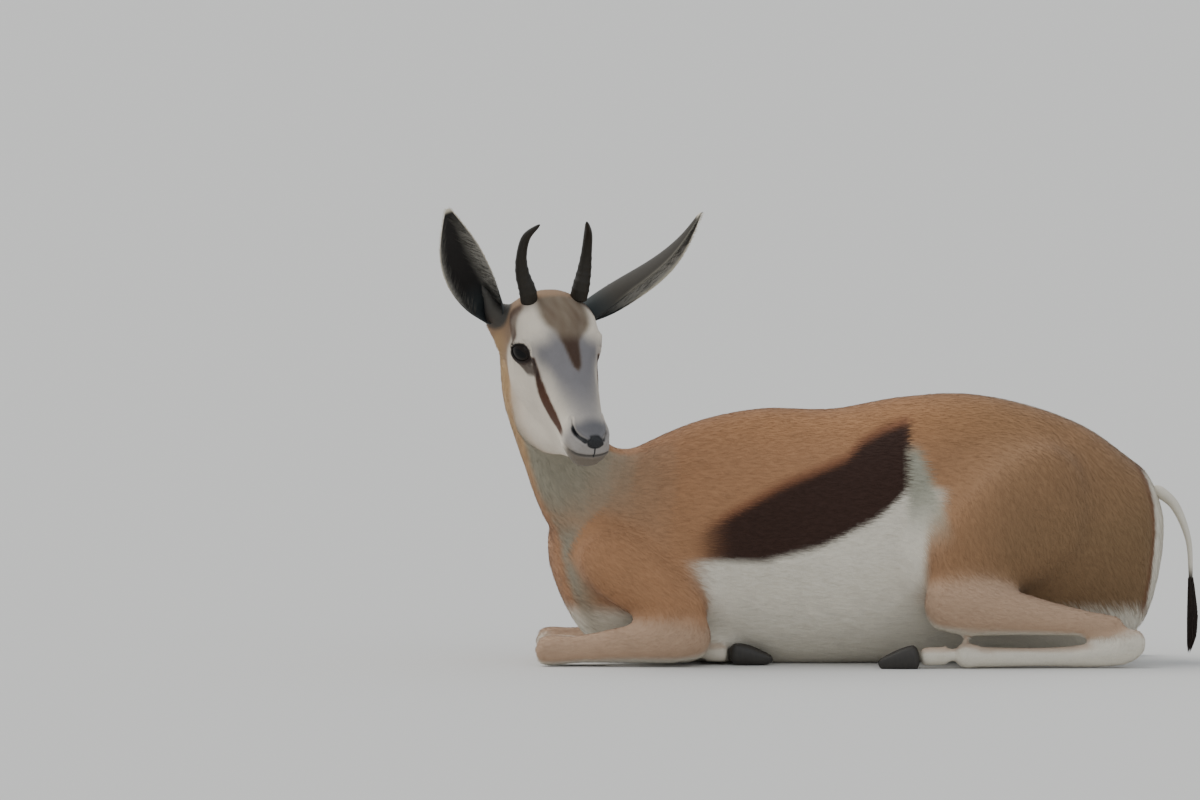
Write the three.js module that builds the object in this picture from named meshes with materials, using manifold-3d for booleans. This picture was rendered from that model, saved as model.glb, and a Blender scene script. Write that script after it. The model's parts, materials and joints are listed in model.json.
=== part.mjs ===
// A young springbok ewe lying on her chest with her legs folded, looking back over her left side.
// Millimetres, +Z up, the floor at Z = 0. She lies along X with her chest at -X, and her left side faces -Y.
// The origin is on the floor, under her withers. Each form is a skin of ovals carried along a curve.
import * as THREE from "three";
import { mergeVertices } from "three/addons/utils/BufferGeometryUtils.js";
import Module from "manifold-3d";

const wasm = await Module();
wasm.setup();

// The gap kept where one piece meets another
const GAP = 0.35;
const LEFT = -1;
const RIGHT = 1;
const DEGREE = Math.PI / 180;
const UP = new THREE.Vector3(0, 0, 1);
const ALONG_X = new THREE.Vector3(1, 0, 0);

// Where the head is: the point midway between the eyes, and which way the head's own axes point.
// In the head's frame X runs to the nose, Y to her left and Z out of the forehead.
const HEAD_AT = new THREE.Vector3(-223, -123, 348);
const HEAD_FORWARD = new THREE.Vector3(0.292, -0.64, -0.712).normalize();
const HEAD_LEFT = new THREE.Vector3(0.925, 0.375, 0.04);

// Colours and finishes
const finish = (color, roughness) => new THREE.MeshStandardMaterial({ color, roughness, metalness: 0 });
const TAN = finish("#a9744f", 0.9);
const WHITE = finish("#d8d3cb", 0.9);
const EAR_GREY = finish("#8b7f74", 0.9);
const HORN = finish("#1d1815", 0.45);
const EYE = finish("#120c09", 0.08);
const NOSE = finish("#2b2624", 0.4);
const HOOF = finish("#24201d", 0.5);
const TUFT = finish("#2a1c15", 0.8);

// A smooth curve through rows of numbers, read at t from 0 to 1: three of each row from place k.
const smooth = (rows, k = 0) =>
  new THREE.CatmullRomCurve3(
    rows.map((r) => new THREE.Vector3(r[k], r[k + 1], r[k + 2])),
    false,
    "catmullrom",
    0.5,
  );

// A rounded end: 0 at the very tip, rising as a quarter circle to 1 at the cap's length.
const rounded = (t, cap) => (cap > 0 && t < cap ? Math.sqrt(Math.max(0, 1 - (1 - t / cap) ** 2)) : 1);

// A sine or cosine pushed out towards a square's side as the power rises above 2.
const squared = (c, power) => Math.sign(c) * Math.abs(c) ** (2 / power);

// A closed skin over a ball's two parameters: place(angle, t) gives each point.
function skin(around, along, place) {
  const ball = new THREE.SphereGeometry(1, around, along);
  const at = ball.attributes.position;
  const uv = ball.attributes.uv;
  for (let i = 0; i < at.count; i++) {
    const p = place((uv.getX(i) % 1) * 2 * Math.PI, 1 - uv.getY(i));
    at.setXYZ(i, p.x, p.y, p.z);
  }
  return ball;
}

// A body of ovals: rows hold x, y, z of the centre, then half width, height above it and depth below it.
// dorsal(t) points to the upper side, ahead is the fixed way the sections face where there is one,
// power squares the upper and lower halves, taper narrows the lower one, and relief(t, angle) adds height
// to the surface.
function ovals(rows, options) {
  const { dorsal = () => UP, ahead, around = 12, along = 10, caps = [0.1, 0.1], power = [2, 2] } = options;
  const { taper = 0, relief = () => 0, grow = 0, ends = 0.6 } = options;
  const centre = smooth(rows);
  const size = smooth(rows, 3);
  return skin(around, along, (angle, v) => {
    const t = v + (0.5 - 0.5 * Math.cos(Math.PI * v) - v) * ends;
    const at = centre.getPoint(t);
    const [width, up, down] = size.getPoint(t).toArray();
    const tip = rounded(t, caps[0]) * rounded(1 - t, caps[1]);
    const way = ahead ?? centre.getTangent(t);
    const side = new THREE.Vector3().crossVectors(dorsal(t), way).normalize();
    const top = new THREE.Vector3().crossVectors(way, side).normalize();
    const c = Math.cos(angle);
    const s = Math.sin(angle);
    const narrow = 1 - taper * Math.max(0, -s);
    const box = power[s > 0 ? 0 : 1];
    const lift = (tip > 0 ? relief(t, angle) : 0) + grow;
    at.addScaledVector(side, squared(c, box) * (width * narrow + lift) * tip);
    at.addScaledVector(top, squared(s, box) * ((s > 0 ? up : down) + lift) * tip);
    return at.addScaledVector(way, tip < 1 ? Math.sign(t - 0.5) * grow : 0);
  });
}

// A mesh's geometry as a solid with its faces outwards.
function solid(geometry) {
  const bare = geometry.clone();
  bare.deleteAttribute("normal");
  bare.deleteAttribute("uv");
  const merged = mergeVertices(bare, 1e-3);
  const corners = new Uint32Array(merged.index.array);
  const points = new Float32Array(merged.attributes.position.array);
  const build = () => new wasm.Manifold(new wasm.Mesh({ numProp: 3, vertProperties: points, triVerts: corners }));
  const made = build();
  if (made.volume() > 0) return made;
  for (let i = 0; i < corners.length; i += 3) {
    [corners[i + 1], corners[i + 2]] = [corners[i + 2], corners[i + 1]];
  }
  return build();
}

// A shape as made and a little larger: the larger one cuts its neighbours, and leaves the gap.
const pair = (build) => ({ shape: solid(build(0)), grown: solid(build(GAP)) });

// A shape less its neighbours and what lies under the floor
function fitted(part, neighbours) {
  const cut = neighbours.reduce((left, other) => left.subtract(other.grown), part.shape);
  return cut.trimByPlane([0, 0, 1], 0);
}

// Where a run of rows is along X at t, and the height that a list of features adds there
function alongX(rows, t) {
  const step = t * (rows.length - 1);
  const i = Math.min(rows.length - 2, Math.floor(step));
  return rows[i][0] + (rows[i + 1][0] - rows[i][0]) * (step - i);
}
function featureLift(features, x, angle) {
  const turn = Math.asin(Math.sin(angle)) / DEGREE;
  let lift = 0;
  for (const [at, round, height, length, spread] of Object.values(features)) {
    lift += height * Math.exp(-(((x - at) / length) ** 2) - ((turn - round) / spread) ** 2);
  }
  return lift;
}

// A solid back as a mesh, keeping only its largest closed surface.
function meshOf(name, shape, material) {
  const whole = shape.decompose().reduce((a, b) => (b.volume() > a.volume() ? b : a));
  const { vertProperties, triVerts } = whole.getMesh();
  const geometry = new THREE.BufferGeometry();
  geometry.setAttribute("position", new THREE.BufferAttribute(vertProperties, 3));
  geometry.setIndex(new THREE.BufferAttribute(triVerts, 1));
  const mesh = new THREE.Mesh(geometry, material);
  mesh.name = name;
  return mesh;
}

// Rows given for her left side, carried to the side named
const onSide = (side, rows) => rows.map(([x, y, ...rest]) => [x, -side * y, ...rest]);

// Torso: the chest, the belly let down on the floor, and the rump.
const TORSO = [
  [-238, 0, 132, 56, 60, 66],
  [-190, 0, 128, 70, 92, 104],
  [-135, 0, 126, 78, 119, 122],
  [-70, 0, 122, 87, 150, 124],
  [0, 0, 118, 96, 168, 124],
  [80, 0, 116, 103, 170, 122],
  [155, 0, 122, 101, 177, 126],
  [228, 0, 134, 93, 169, 134],
  [300, 0, 140, 84, 150, 134],
  [365, 0, 144, 74, 121, 128],
  [420, 0, 148, 60, 78, 108],
  [452, 0, 150, 47, 54, 84],
];

// Raised and hollow places on each side of the trunk, as lines of: place along X, the angle round, height,
// and both spreads. The angle is 0 at the side, 90 at the back and -90 at the belly.
const TRUNK_FEATURES = {
  shoulderBlade: [-98, 24, 6, 44, 26],
  behindShoulder: [-28, 8, -4, 30, 26],
  flankHollow: [196, 16, -5, 30, 24],
  hipPoint: [318, 48, 4, 34, 16],
  loin: [180, 72, -2, 60, 12],
  belly: [80, -24, 4, 80, 24],
};
const torsoRelief = (t, angle) => featureLift(TRUNK_FEATURES, alongX(TORSO, t), angle);
const torso = pair((grow) =>
  ovals(TORSO, {
    relief: torsoRelief,
    ahead: ALONG_X,
    around: 28,
    along: 26,
    caps: [0.09, 0.09],
    power: [2.2, 2.2],
    taper: 0.22,
    grow,
  }),
);

// Neck: out of the chest, then up to the back of the head, its nape turning away from her left side.
const NECK = [
  [-96, 4, 160, 66, 88, 96],
  [-140, 0, 172, 62, 72, 92],
  [-188, -8, 202, 50, 49, 74],
  [-221, -20, 248, 42, 48, 58],
  [-238, -32, 298, 48, 47, 54],
  [-246, -42, 346, 47, 46, 50],
  [-252, -48, 378, 43, 41, 43],
  [-255, -53, 404, 33, 31, 31],
];
const NAPE = smooth([
  [0.3, 0, 0.95],
  [0.5, 0.2, 0.85],
  [0.65, 0.55, 0.5],
  [0.35, 0.9, 0.3],
  [0, 1, 0.15],
  [-0.25, 0.95, 0.1],
  [-0.35, 0.9, 0.1],
  [-0.4, 0.9, 0.1],
]);
const neck = pair((grow) =>
  ovals(NECK, { dorsal: (t) => NAPE.getPoint(t), around: 24, along: 18, caps: [0.06, 0.16], ends: 0.3, grow }),
);

// Head, in its own frame: the back of the skull, the brow, the cheeks, the muzzle and the lips.
const HEAD = [
  [-92, 0, -6, 30, 24, 30],
  [-68, 0, -6, 42, 40, 50],
  [-38, 0, -8, 47, 46, 70],
  [-8, 0, -10, 47, 45, 77],
  [24, 0, -14, 41, 43, 72],
  [54, 0, -16, 33, 37, 60],
  [84, 0, -17, 27, 32, 46],
  [108, 0, -17, 25, 29, 33],
  [126, 0, -17, 23, 24, 26],
  [138, 0, -16, 18, 18, 19],
];

// Raised and hollow places on each side of the head: along its length, round it, height, and both spreads.
// The angle is 0 at the side, 90 at the top and -90 under the jaw.
const HEAD_FEATURES = {
  brow: [-8, 38, 5, 18, 15],
  temple: [-40, 30, 8, 26, 18],
  earBase: [-74, -6, 8, 20, 24],
  eyeHollow: [4, 4, -4, 16, 13],
  cheekRidge: [14, -8, 2.5, 26, 10],
  jawMuscle: [-18, -38, 4, 24, 18],
  tearHollow: [36, 30, -2.5, 16, 14],
  nostrilWing: [112, 28, 2.5, 10, 18],
  upperLip: [112, -12, 2.5, 14, 16],
  lipCorner: [94, -30, -1.5, 10, 12],
  chin: [114, -80, 2, 12, 24],
};
const headRelief = (t, angle) => featureLift(HEAD_FEATURES, alongX(HEAD, t), angle);
const headSkin = (grow) =>
  ovals(HEAD, {
    ahead: ALONG_X,
    around: 36,
    along: 34,
    caps: [0.12, 0.08],
    power: [2.15, 2.7],
    taper: 0.22,
    relief: headRelief,
    grow,
  });

// Horn: back and out of the brow, then up and in to the tip.
const HORN_ROOT = [-65, 31, 38];
const HORN_PATH = [
  [6, -2, -14, 9.8, 9.8, 9.8],
  [-1, 1, 0, 9.5, 9.5, 9.5],
  [-13, 6, 14, 7.8, 7.8, 7.8],
  [-23, 8, 32, 6.0, 6.0, 6.0],
  [-29, 6, 57, 4.8, 4.8, 4.8],
  [-24, -3, 83, 1.6, 1.6, 1.6],
];
const hornRows = (side) =>
  HORN_PATH.map(([x, y, z, ...sizes]) => [
    HORN_ROOT[0] + x,
    side * (HORN_ROOT[1] + y),
    HORN_ROOT[2] + z,
    ...sizes,
  ]);
const horn = (side) =>
  pair((grow) =>
    ovals(hornRows(side), {
      dorsal: () => new THREE.Vector3(-0.5, 0, -1),
      around: 10,
      along: 15,
      caps: [0.04, 0.06],
      ends: 0.1,
      grow,
    }),
  );

// Ear: a leaf rolled to a tube at the root and open to a cup, held by the way it points and the way it faces.
// The leaf's rows hold half its breadth and half the angle it is rolled through. bow bends it sideways and
// lean towards its face, most at the middle when skew is 1; curl rolls it further than the rows say.
const EAR_THICK = 3;
const EAR_LEAF = smooth([
  [33, 150, 0],
  [37, 110, 0],
  [37, 86, 0],
  [34, 74, 0],
  [27, 66, 0],
  [17, 58, 0],
  [5, 50, 0],
]);
const EARS = {
  right: {
    root: [-80, -51, -12],
    tip: [-106, -137, 137],
    face: [0.485, -0.45, 0.73],
    bow: -9,
    lean: 0,
    skew: 0.9,
    curl: 1,
  },
  left: {
    root: [-68, 44, -6],
    tip: [-104, 174, 109],
    face: [0.82, 0.5, -0.1],
    bow: 16,
    lean: 12,
    skew: 1.5,
    curl: 1.2,
  },
};
function earSkin({ root, tip, face, bow, lean, skew, curl }, grow) {
  const start = new THREE.Vector3(...root);
  const up = new THREE.Vector3(...tip).sub(start);
  const length = up.length();
  up.normalize();
  const out = new THREE.Vector3(...face);
  out.addScaledVector(up, -out.dot(up)).normalize();
  const across = new THREE.Vector3().crossVectors(up, out);
  return skin(18, 15, (angle, t) => {
    const leaf = EAR_LEAF.getPoint(t);
    const roll = leaf.y * curl * DEGREE;
    const bend = Math.sin(Math.PI * t ** skew);
    const radius = leaf.x / roll;
    const inner = angle > Math.PI;
    const share = inner ? (angle - Math.PI) / Math.PI : 1 - angle / Math.PI;
    const turn = (share * 2 - 1) * roll;
    const depth = radius + (EAR_THICK / 2 + grow) * Math.sin(angle);
    const end = rounded(t, 0.02) * rounded(1 - t, 0.04);
    const p = start.clone().addScaledVector(up, t * length);
    p.addScaledVector(across, Math.sin(turn) * depth * end + bow * bend);
    return p.addScaledVector(out, (radius * 0.6 - Math.cos(turn) * depth) * end + lean * bend);
  });
}
const ear = (place) => pair((grow) => earSkin(place, grow));

// Eye: a ball with its lids round it, looking out and a little forward through an almond opening.
const EYE_AT = [-11, 36.5, 0];
const EYE_RADIUS = 16;
const EYE_LOOK = [0.6, 0.72, 0.3];
const eyeball = (side, grow) =>
  new THREE.SphereGeometry(EYE_RADIUS + grow, 14, 10).translate(EYE_AT[0], side * EYE_AT[1], EYE_AT[2]);
const eye = (side) => pair((grow) => eyeball(side, grow));
function lidOpening(side) {
  const almond = new THREE.Shape();
  almond.moveTo(-13.5, 2.5);
  almond.bezierCurveTo(-8, 15, 6, 14, 15, -4.5);
  almond.bezierCurveTo(6, -13.5, -8, -11, -13.5, 2.5);
  const prism = new THREE.ExtrudeGeometry(almond, { depth: 40, bevelEnabled: false, curveSegments: 6 });
  const look = new THREE.Vector3(EYE_LOOK[0], side * EYE_LOOK[1], EYE_LOOK[2]).normalize();
  const high = new THREE.Vector3(0, 0, 1).addScaledVector(look, -look.z).normalize();
  const front = new THREE.Vector3().crossVectors(high, look);
  front.multiplyScalar(Math.sign(front.x));
  const frame = new THREE.Matrix4().makeBasis(front, high, look);
  frame.setPosition(EYE_AT[0], side * EYE_AT[1], EYE_AT[2]);
  return solid(prism.applyMatrix4(frame));
}

// The line of the mouth: a thin cut that follows the lips and stops a little way in.
const MOUTH_LINE = [
  [93, -33],
  [106, -31],
  [120, -27],
  [150, -22],
];
const MOUTH_GAP = 1.1;
function mouthCut() {
  const outline = new THREE.Shape();
  outline.moveTo(MOUTH_LINE[0][0] - 2, MOUTH_LINE[0][1]);
  MOUTH_LINE.forEach(([x, z]) => outline.lineTo(x, z + MOUTH_GAP / 2));
  [...MOUTH_LINE].reverse().forEach(([x, z]) => outline.lineTo(x, z - MOUTH_GAP / 2));
  const slab = new THREE.ExtrudeGeometry(outline, { depth: 80, bevelEnabled: false });
  const upright = new THREE.Matrix4().makeRotationX(Math.PI / 2).setPosition(0, 40, 0);
  return solid(slab.applyMatrix4(upright)).subtract(solid(headSkin(-3.5)));
}

// Nostril: a comma-shaped slit from the wing down to the nose's front.
const NOSTRIL = [
  [103, 25, 7, 1.2, 3, 3],
  [111, 24, 1, 1.8, 4, 4],
  [121, 20, -3, 2.2, 5, 5],
  [131, 12, -4, 1.6, 4, 4],
];
const nostril = (side) =>
  solid(
    ovals(
      NOSTRIL.map(([x, y, ...rest]) => [x, side * y, ...rest]),
      { dorsal: () => new THREE.Vector3(0.6, side * 0.8, 0.1), around: 8, along: 8, caps: [0.2, 0.2] },
    ),
  );

// Nose pad: the bare skin between the nostrils, let into the front of the muzzle
const NOSE_PAD_AT = [134, 0, -3];
const nosePad = (grow) =>
  solid(
    new THREE.SphereGeometry(1, 12, 9)
      .scale(10 + grow, 9 + grow, 7 + grow)
      .translate(...NOSE_PAD_AT),
  );

const eyes = { right: eye(-1), left: eye(1) };
const horns = { right: horn(-1), left: horn(1) };
const ears = { right: ear(EARS.right), left: ear(EARS.left) };
const lids = (side) =>
  solid(
    new THREE.SphereGeometry(EYE_RADIUS + 2.2, 16, 12).translate(EYE_AT[0], side * EYE_AT[1], EYE_AT[2]),
  );
let skull = solid(headSkin(0)).add(lids(-1)).add(lids(1));
for (const cut of [lidOpening(-1), lidOpening(1), mouthCut(), nostril(-1), nostril(1)]) {
  skull = skull.subtract(cut);
}
skull = skull.subtract(eyes.right.grown).subtract(eyes.left.grown).subtract(nosePad(GAP));
const head = { shape: skull, grown: solid(headSkin(GAP)) };

const headGroup = new THREE.Group();
const dorsal = new THREE.Vector3().crossVectors(HEAD_FORWARD, HEAD_LEFT).normalize();
const leftward = new THREE.Vector3().crossVectors(dorsal, HEAD_FORWARD).normalize();
const headFrame = new THREE.Matrix4().makeBasis(HEAD_FORWARD, leftward, dorsal).setPosition(HEAD_AT);
headGroup.position.copy(HEAD_AT);
headGroup.rotation.setFromRotationMatrix(headFrame);
const inWorld = ({ shape, grown }) => ({
  shape: shape.transform(headFrame.elements),
  grown: grown.transform(headFrame.elements),
});

headGroup.add(meshOf("head", head.shape, WHITE));
headGroup.add(meshOf("nose_pad", nosePad(0).intersect(solid(headSkin(0.8))), NOSE));
for (const side of ["right", "left"]) {
  headGroup.add(meshOf(`horn_${side}`, horns[side].shape.subtract(head.grown), HORN));
  headGroup.add(meshOf(`ear_${side}`, ears[side].shape.subtract(head.grown), EAR_GREY));
  headGroup.add(meshOf(`eye_${side}`, eyes[side].shape, EYE));
}

// Foreleg, from the point of the shoulder to the toes; the knee is at the front and the toes lie back beside it.
const UPPER_ARM = [
  [-196, -62, 142, 26, 42, 42],
  [-150, -76, 104, 28, 46, 40],
  [-100, -86, 70, 27, 38, 34],
  [-62, -92, 50, 20, 26, 26],
];
const FOREARM = [
  [-56, -92, 42, 19, 28, 30],
  [-96, -92, 34, 23, 29, 31],
  [-150, -88, 26, 18, 21, 23],
  [-202, -84, 20, 15, 16, 18],
  [-236, -82, 19, 17, 17, 20],
  [-250, -80, 20, 13, 13, 15],
];
const FORE_CANNON = [
  [-247, -55, 18, 13, 13, 14],
  [-220, -54, 16, 11, 11, 14],
  [-160, -55, 13, 9, 10, 12],
  [-105, -57, 13, 10, 11, 12],
  [-84, -58, 15, 13, 14, 16],
  [-72, -58, 17, 11, 12, 12],
];
const FORE_PASTERN = [
  [-68, -58, 16, 10, 11, 12],
  [-54, -58, 14, 9.5, 10, 12],
  [-36, -58, 14, 12, 11, 13],
];
const FORE_CLAW = [
  [-35, -58, 14, 6.5, 11, 12],
  [-18, -58, 13, 7.5, 10, 12],
  [2, -58, 9, 5.5, 6, 9],
  [14, -58, 6, 2, 2.5, 4],
];

// Hind leg, from the hip to the toes; the hock is at the back and the toes point forward.
const THIGH = [
  [372, -44, 196, 34, 62, 62],
  [322, -62, 178, 44, 78, 78],
  [262, -80, 142, 44, 72, 70],
  [214, -96, 108, 36, 50, 50],
  [186, -104, 88, 24, 30, 34],
];
const SHANK = [
  [182, -112, 78, 26, 30, 34],
  [236, -114, 70, 28, 34, 36],
  [300, -112, 58, 20, 24, 24],
  [364, -110, 48, 14, 17, 16],
  [404, -110, 42, 13, 17, 18],
];
const HIND_CANNON = [
  [418, -112, 44, 12, 12, 14],
  [406, -113, 26, 14, 17, 22],
  [370, -115, 17, 12, 13, 18],
  [310, -118, 14, 10, 11, 14],
  [250, -121, 14, 11, 12, 15],
  [228, -122, 16, 13, 14, 18],
  [216, -122, 17, 11, 12, 13],
];
const HIND_PASTERN = [
  [212, -122, 16, 10.5, 12, 13],
  [196, -122, 15, 10, 11, 13],
  [178, -122, 14, 12, 12, 14],
];
const HIND_CLAW = [
  [176, -122, 14, 7, 13, 15],
  [160, -122, 12, 7.5, 11, 14],
  [142, -122, 8, 5.5, 7, 9],
  [130, -122, 5, 2, 3, 6],
];
const CLAW_APART = 8.4;

// One piece of a leg, on the side named
const limb = (side, rows, options = {}) => pair((grow) => ovals(onSide(side, rows), { ...options, grow }));
function claws(side, rows) {
  const beside = (shift) => rows.map(([x, y, ...rest]) => [x, y + shift, ...rest]);
  const options = { around: 10, along: 7, power: [2.2, 2.6], caps: [0.15, 0.12] };
  return {
    inner: limb(side, beside(CLAW_APART), options),
    outer: limb(side, beside(-CLAW_APART), options),
  };
}

const springbok = new THREE.Group();
springbok.add(headGroup);
const feet = [];
const uppers = [];
for (const [name, side] of Object.entries({ left: LEFT, right: RIGHT })) {
  const fore = claws(side, FORE_CLAW);
  const forePastern = limb(side, FORE_PASTERN, { along: 6 });
  const foreCannon = limb(side, FORE_CANNON, { along: 12 });
  const forearm = limb(side, FOREARM, { around: 14, along: 12 });
  const upperArm = limb(side, UPPER_ARM, { around: 16, along: 10, caps: [0.25, 0.25] });
  const hind = claws(side, HIND_CLAW);
  const hindPastern = limb(side, HIND_PASTERN, { along: 6 });
  const hindCannon = limb(side, HIND_CANNON, { along: 14, dorsal: () => new THREE.Vector3(-0.4, 0, 1) });
  const shank = limb(side, SHANK, { around: 16, along: 12 });
  const thigh = limb(side, THIGH, { around: 20, along: 12, caps: [0.25, 0.3] });
  const add = (part, shape, material) => springbok.add(meshOf(`${part}_${name}`, shape, material));
  add("fore_claw_inner", fitted(fore.inner, []), HOOF);
  add("fore_claw_outer", fitted(fore.outer, [fore.inner]), HOOF);
  add("fore_pastern", fitted(forePastern, [fore.inner, fore.outer]), WHITE);
  add("fore_cannon", fitted(foreCannon, [forePastern]), WHITE);
  add("forearm", fitted(forearm, [foreCannon]), TAN);
  add("hind_claw_inner", fitted(hind.inner, []), HOOF);
  add("hind_claw_outer", fitted(hind.outer, [hind.inner]), HOOF);
  add("hind_pastern", fitted(hindPastern, [hind.inner, hind.outer]), WHITE);
  add("hind_cannon", fitted(hindCannon, [hindPastern]), WHITE);
  add("shank", fitted(shank, [hindCannon, hindPastern]), TAN);
  feet.push(fore.inner, fore.outer, forePastern, foreCannon, forearm);
  feet.push(hind.inner, hind.outer, hindPastern, hindCannon, shank);
  uppers.push([add, "upper_arm", upperArm, [torso, forearm, foreCannon]]);
  uppers.push([add, "thigh", thigh, [torso, shank, hindCannon]]);
}
springbok.add(meshOf("torso", fitted(torso, feet), TAN));
for (const [add, part, shape, neighbours] of uppers) add(part, fitted(shape, neighbours), TAN);
springbok.add(meshOf("neck", fitted(neck, [torso, inWorld(head)]), TAN));

// Tail: down the back of the rump to a tuft of tapered locks.
const TAIL = [
  [440, 0, 196, 11, 9, 9],
  [464, -3, 176, 10, 7, 7],
  [479, -8, 140, 7, 5, 5],
  [482, -13, 104, 5, 4, 4],
  [481, -16, 78, 4, 3.5, 3.5],
];
const LOCK = [
  [481, -16, 80, 5, 5, 5],
  [485, -17, 55, 6.5, 6, 6],
  [484, -19, 28, 5, 5, 5],
  [478, -20, 6, 1.2, 1.2, 1.2],
];
const awayFromRump = { dorsal: () => ALONG_X };
const tail = pair((grow) => ovals(TAIL, { ...awayFromRump, around: 8, along: 12, grow }));
const lock = (shift) =>
  pair((grow) =>
    ovals(
      LOCK.map(([x, y, z, ...sizes], i) => [x + shift[0] * i, y + shift[1] * i, z, ...sizes]),
      { ...awayFromRump, around: 8, along: 8, grow },
    ),
  );
const locks = [lock([0, 0]), lock([-1.5, 4.5]), lock([-1.5, -4.5])];
springbok.add(meshOf("tail", fitted(tail, [torso, ...locks]), WHITE));
locks.forEach((part, i) => springbok.add(meshOf(`tail_lock_${i + 1}`, fitted(part, locks.slice(0, i)), TUFT)));

export default springbok;
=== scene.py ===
# %% [markdown]
# # A springbok ewe at rest
# The part is a still, life-size model of a young springbok lying with her legs folded, looking back
# over her left side. The imported solids give every size and place. This script dresses them: one skin
# over all the flesh, short fur in small tufts that follow the lie of the coat, dark eyes with lids and
# lashes, ringed horns, thin cupped ears, hooves, and soft studio light.

# %% Load the frame, and a helper that measures the shown part's box
import json
import math
import bmesh
import bpy
import numpy as np
from mathutils import Matrix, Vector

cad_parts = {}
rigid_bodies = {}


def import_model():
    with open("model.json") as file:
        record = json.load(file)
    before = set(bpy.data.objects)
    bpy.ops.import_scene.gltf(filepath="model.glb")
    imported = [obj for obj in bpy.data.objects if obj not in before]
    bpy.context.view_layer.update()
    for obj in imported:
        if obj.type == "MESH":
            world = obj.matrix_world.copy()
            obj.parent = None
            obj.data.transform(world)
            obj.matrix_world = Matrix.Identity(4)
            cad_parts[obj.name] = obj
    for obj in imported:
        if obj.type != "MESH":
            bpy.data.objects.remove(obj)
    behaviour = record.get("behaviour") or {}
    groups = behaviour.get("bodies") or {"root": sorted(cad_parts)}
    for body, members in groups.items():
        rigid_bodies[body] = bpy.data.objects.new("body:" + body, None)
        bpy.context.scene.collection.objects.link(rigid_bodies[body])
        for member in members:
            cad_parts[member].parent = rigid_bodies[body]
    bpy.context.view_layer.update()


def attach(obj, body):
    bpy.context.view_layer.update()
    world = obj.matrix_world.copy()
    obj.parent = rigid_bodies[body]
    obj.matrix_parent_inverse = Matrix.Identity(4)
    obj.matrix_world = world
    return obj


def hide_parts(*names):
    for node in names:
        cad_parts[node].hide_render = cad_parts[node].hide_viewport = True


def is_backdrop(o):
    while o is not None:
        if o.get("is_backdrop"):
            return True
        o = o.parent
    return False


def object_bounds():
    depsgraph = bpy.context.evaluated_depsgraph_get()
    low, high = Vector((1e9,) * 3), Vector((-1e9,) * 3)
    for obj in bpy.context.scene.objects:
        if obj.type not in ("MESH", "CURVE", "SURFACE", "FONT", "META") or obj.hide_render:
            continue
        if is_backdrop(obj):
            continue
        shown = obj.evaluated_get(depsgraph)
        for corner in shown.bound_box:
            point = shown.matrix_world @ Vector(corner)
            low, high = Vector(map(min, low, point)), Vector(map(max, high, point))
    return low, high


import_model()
MM = 0.001
SEED = 11
random = np.random.default_rng(SEED)

# %% [markdown]
# ## The camera
# The photograph was taken with a long lens from far off, near the ground. So the camera stands 15 m
# back and a little above the floor, and its lens is as long as it takes for one pixel to cover 1.12 mm
# at the animal. Each place here is worked out from that scale and from the pixel where the part's
# origin would be.

# %% Camera at the photograph's view
IMAGE_WIDE, IMAGE_HIGH = 1200, 800
ORIGIN_PIXEL = (760, 662)
MM_PER_PIXEL = 1.12
CAMERA_BACK = 15.0
CAMERA_ABOVE = math.radians(2.5)
SENSOR_MM = 36.0
CLIP_END = 400
aim = np.array(
    [
        (IMAGE_WIDE / 2 - ORIGIN_PIXEL[0]) * MM_PER_PIXEL * MM,
        0.0,
        (ORIGIN_PIXEL[1] - IMAGE_HIGH / 2) * MM_PER_PIXEL * MM,
    ]
)
camera_data = bpy.data.cameras.new("camera")
camera_data.sensor_width = SENSOR_MM
camera_data.lens = SENSOR_MM * CAMERA_BACK / (IMAGE_WIDE * MM_PER_PIXEL * MM)
camera_data.clip_end = CLIP_END
camera = bpy.data.objects.new("camera", camera_data)
camera.location = aim + CAMERA_BACK * np.array([0, -math.cos(CAMERA_ABOVE), math.sin(CAMERA_ABOVE)])
camera.rotation_euler = (math.pi / 2 - CAMERA_ABOVE, 0, 0)
bpy.context.scene.collection.objects.link(camera)
bpy.context.scene.camera = camera
print("Lens, mm:", round(camera_data.lens, 1))

# %% [markdown]
# ## Numbers to shapes
# Most of the animal is made of ovals carried along a curve. The rows are the sizes that the solids were
# made from: the centre of each oval, half its width, its height above the centre and its depth below
# it. A smooth curve runs through the rows, and all the points of a body are worked out at once on a
# grid of two parameters: how far along it is, and the angle round it.

# %% Ramps, bells and smooth curves
UP = np.array([0.0, 0.0, 1.0])
ALONG_X = np.array([1.0, 0.0, 0.0])


def unit(vectors):
    """Each vector divided by its length."""
    return vectors / np.maximum(np.linalg.norm(vectors, axis=-1, keepdims=True), 1e-12)


def ramp(value, start, end):
    """0 at start, 1 at end, and 3s squared less 2s cubed between, where s is the share of the way."""
    share = np.clip((np.asarray(value, float) - start) / (end - start), 0, 1)
    return share * share * (3 - 2 * share)


def bell(value, centre, width):
    """A bump: e to the minus square of the distance from the centre over the width."""
    return np.exp(-(((value - centre) / width) ** 2))


def smooth(rows, t):
    """Rows read at t from 0 to 1 on cubic pieces. A row's slope is half the step between its
    neighbours."""
    rows = np.asarray(rows, float)
    last = len(rows) - 1
    place = np.clip(np.asarray(t, float), 0, 1) * last
    i = np.minimum(place.astype(int), last - 1)
    w = (place - i)[..., None]
    a, b = rows[i], rows[i + 1]
    before = np.where((i > 0)[..., None], rows[np.maximum(i - 1, 0)], 2 * a - b)
    after = np.where((i < last - 1)[..., None], rows[np.minimum(i + 2, last)], 2 * b - a)
    slope_a, slope_b = (b - before) / 2, (after - a) / 2
    square, cube = w**2, w**3
    start = (2 * cube - 3 * square + 1) * a + (cube - 2 * square + w) * slope_a
    return start + (3 * square - 2 * cube) * b + (cube - square) * slope_b


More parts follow.
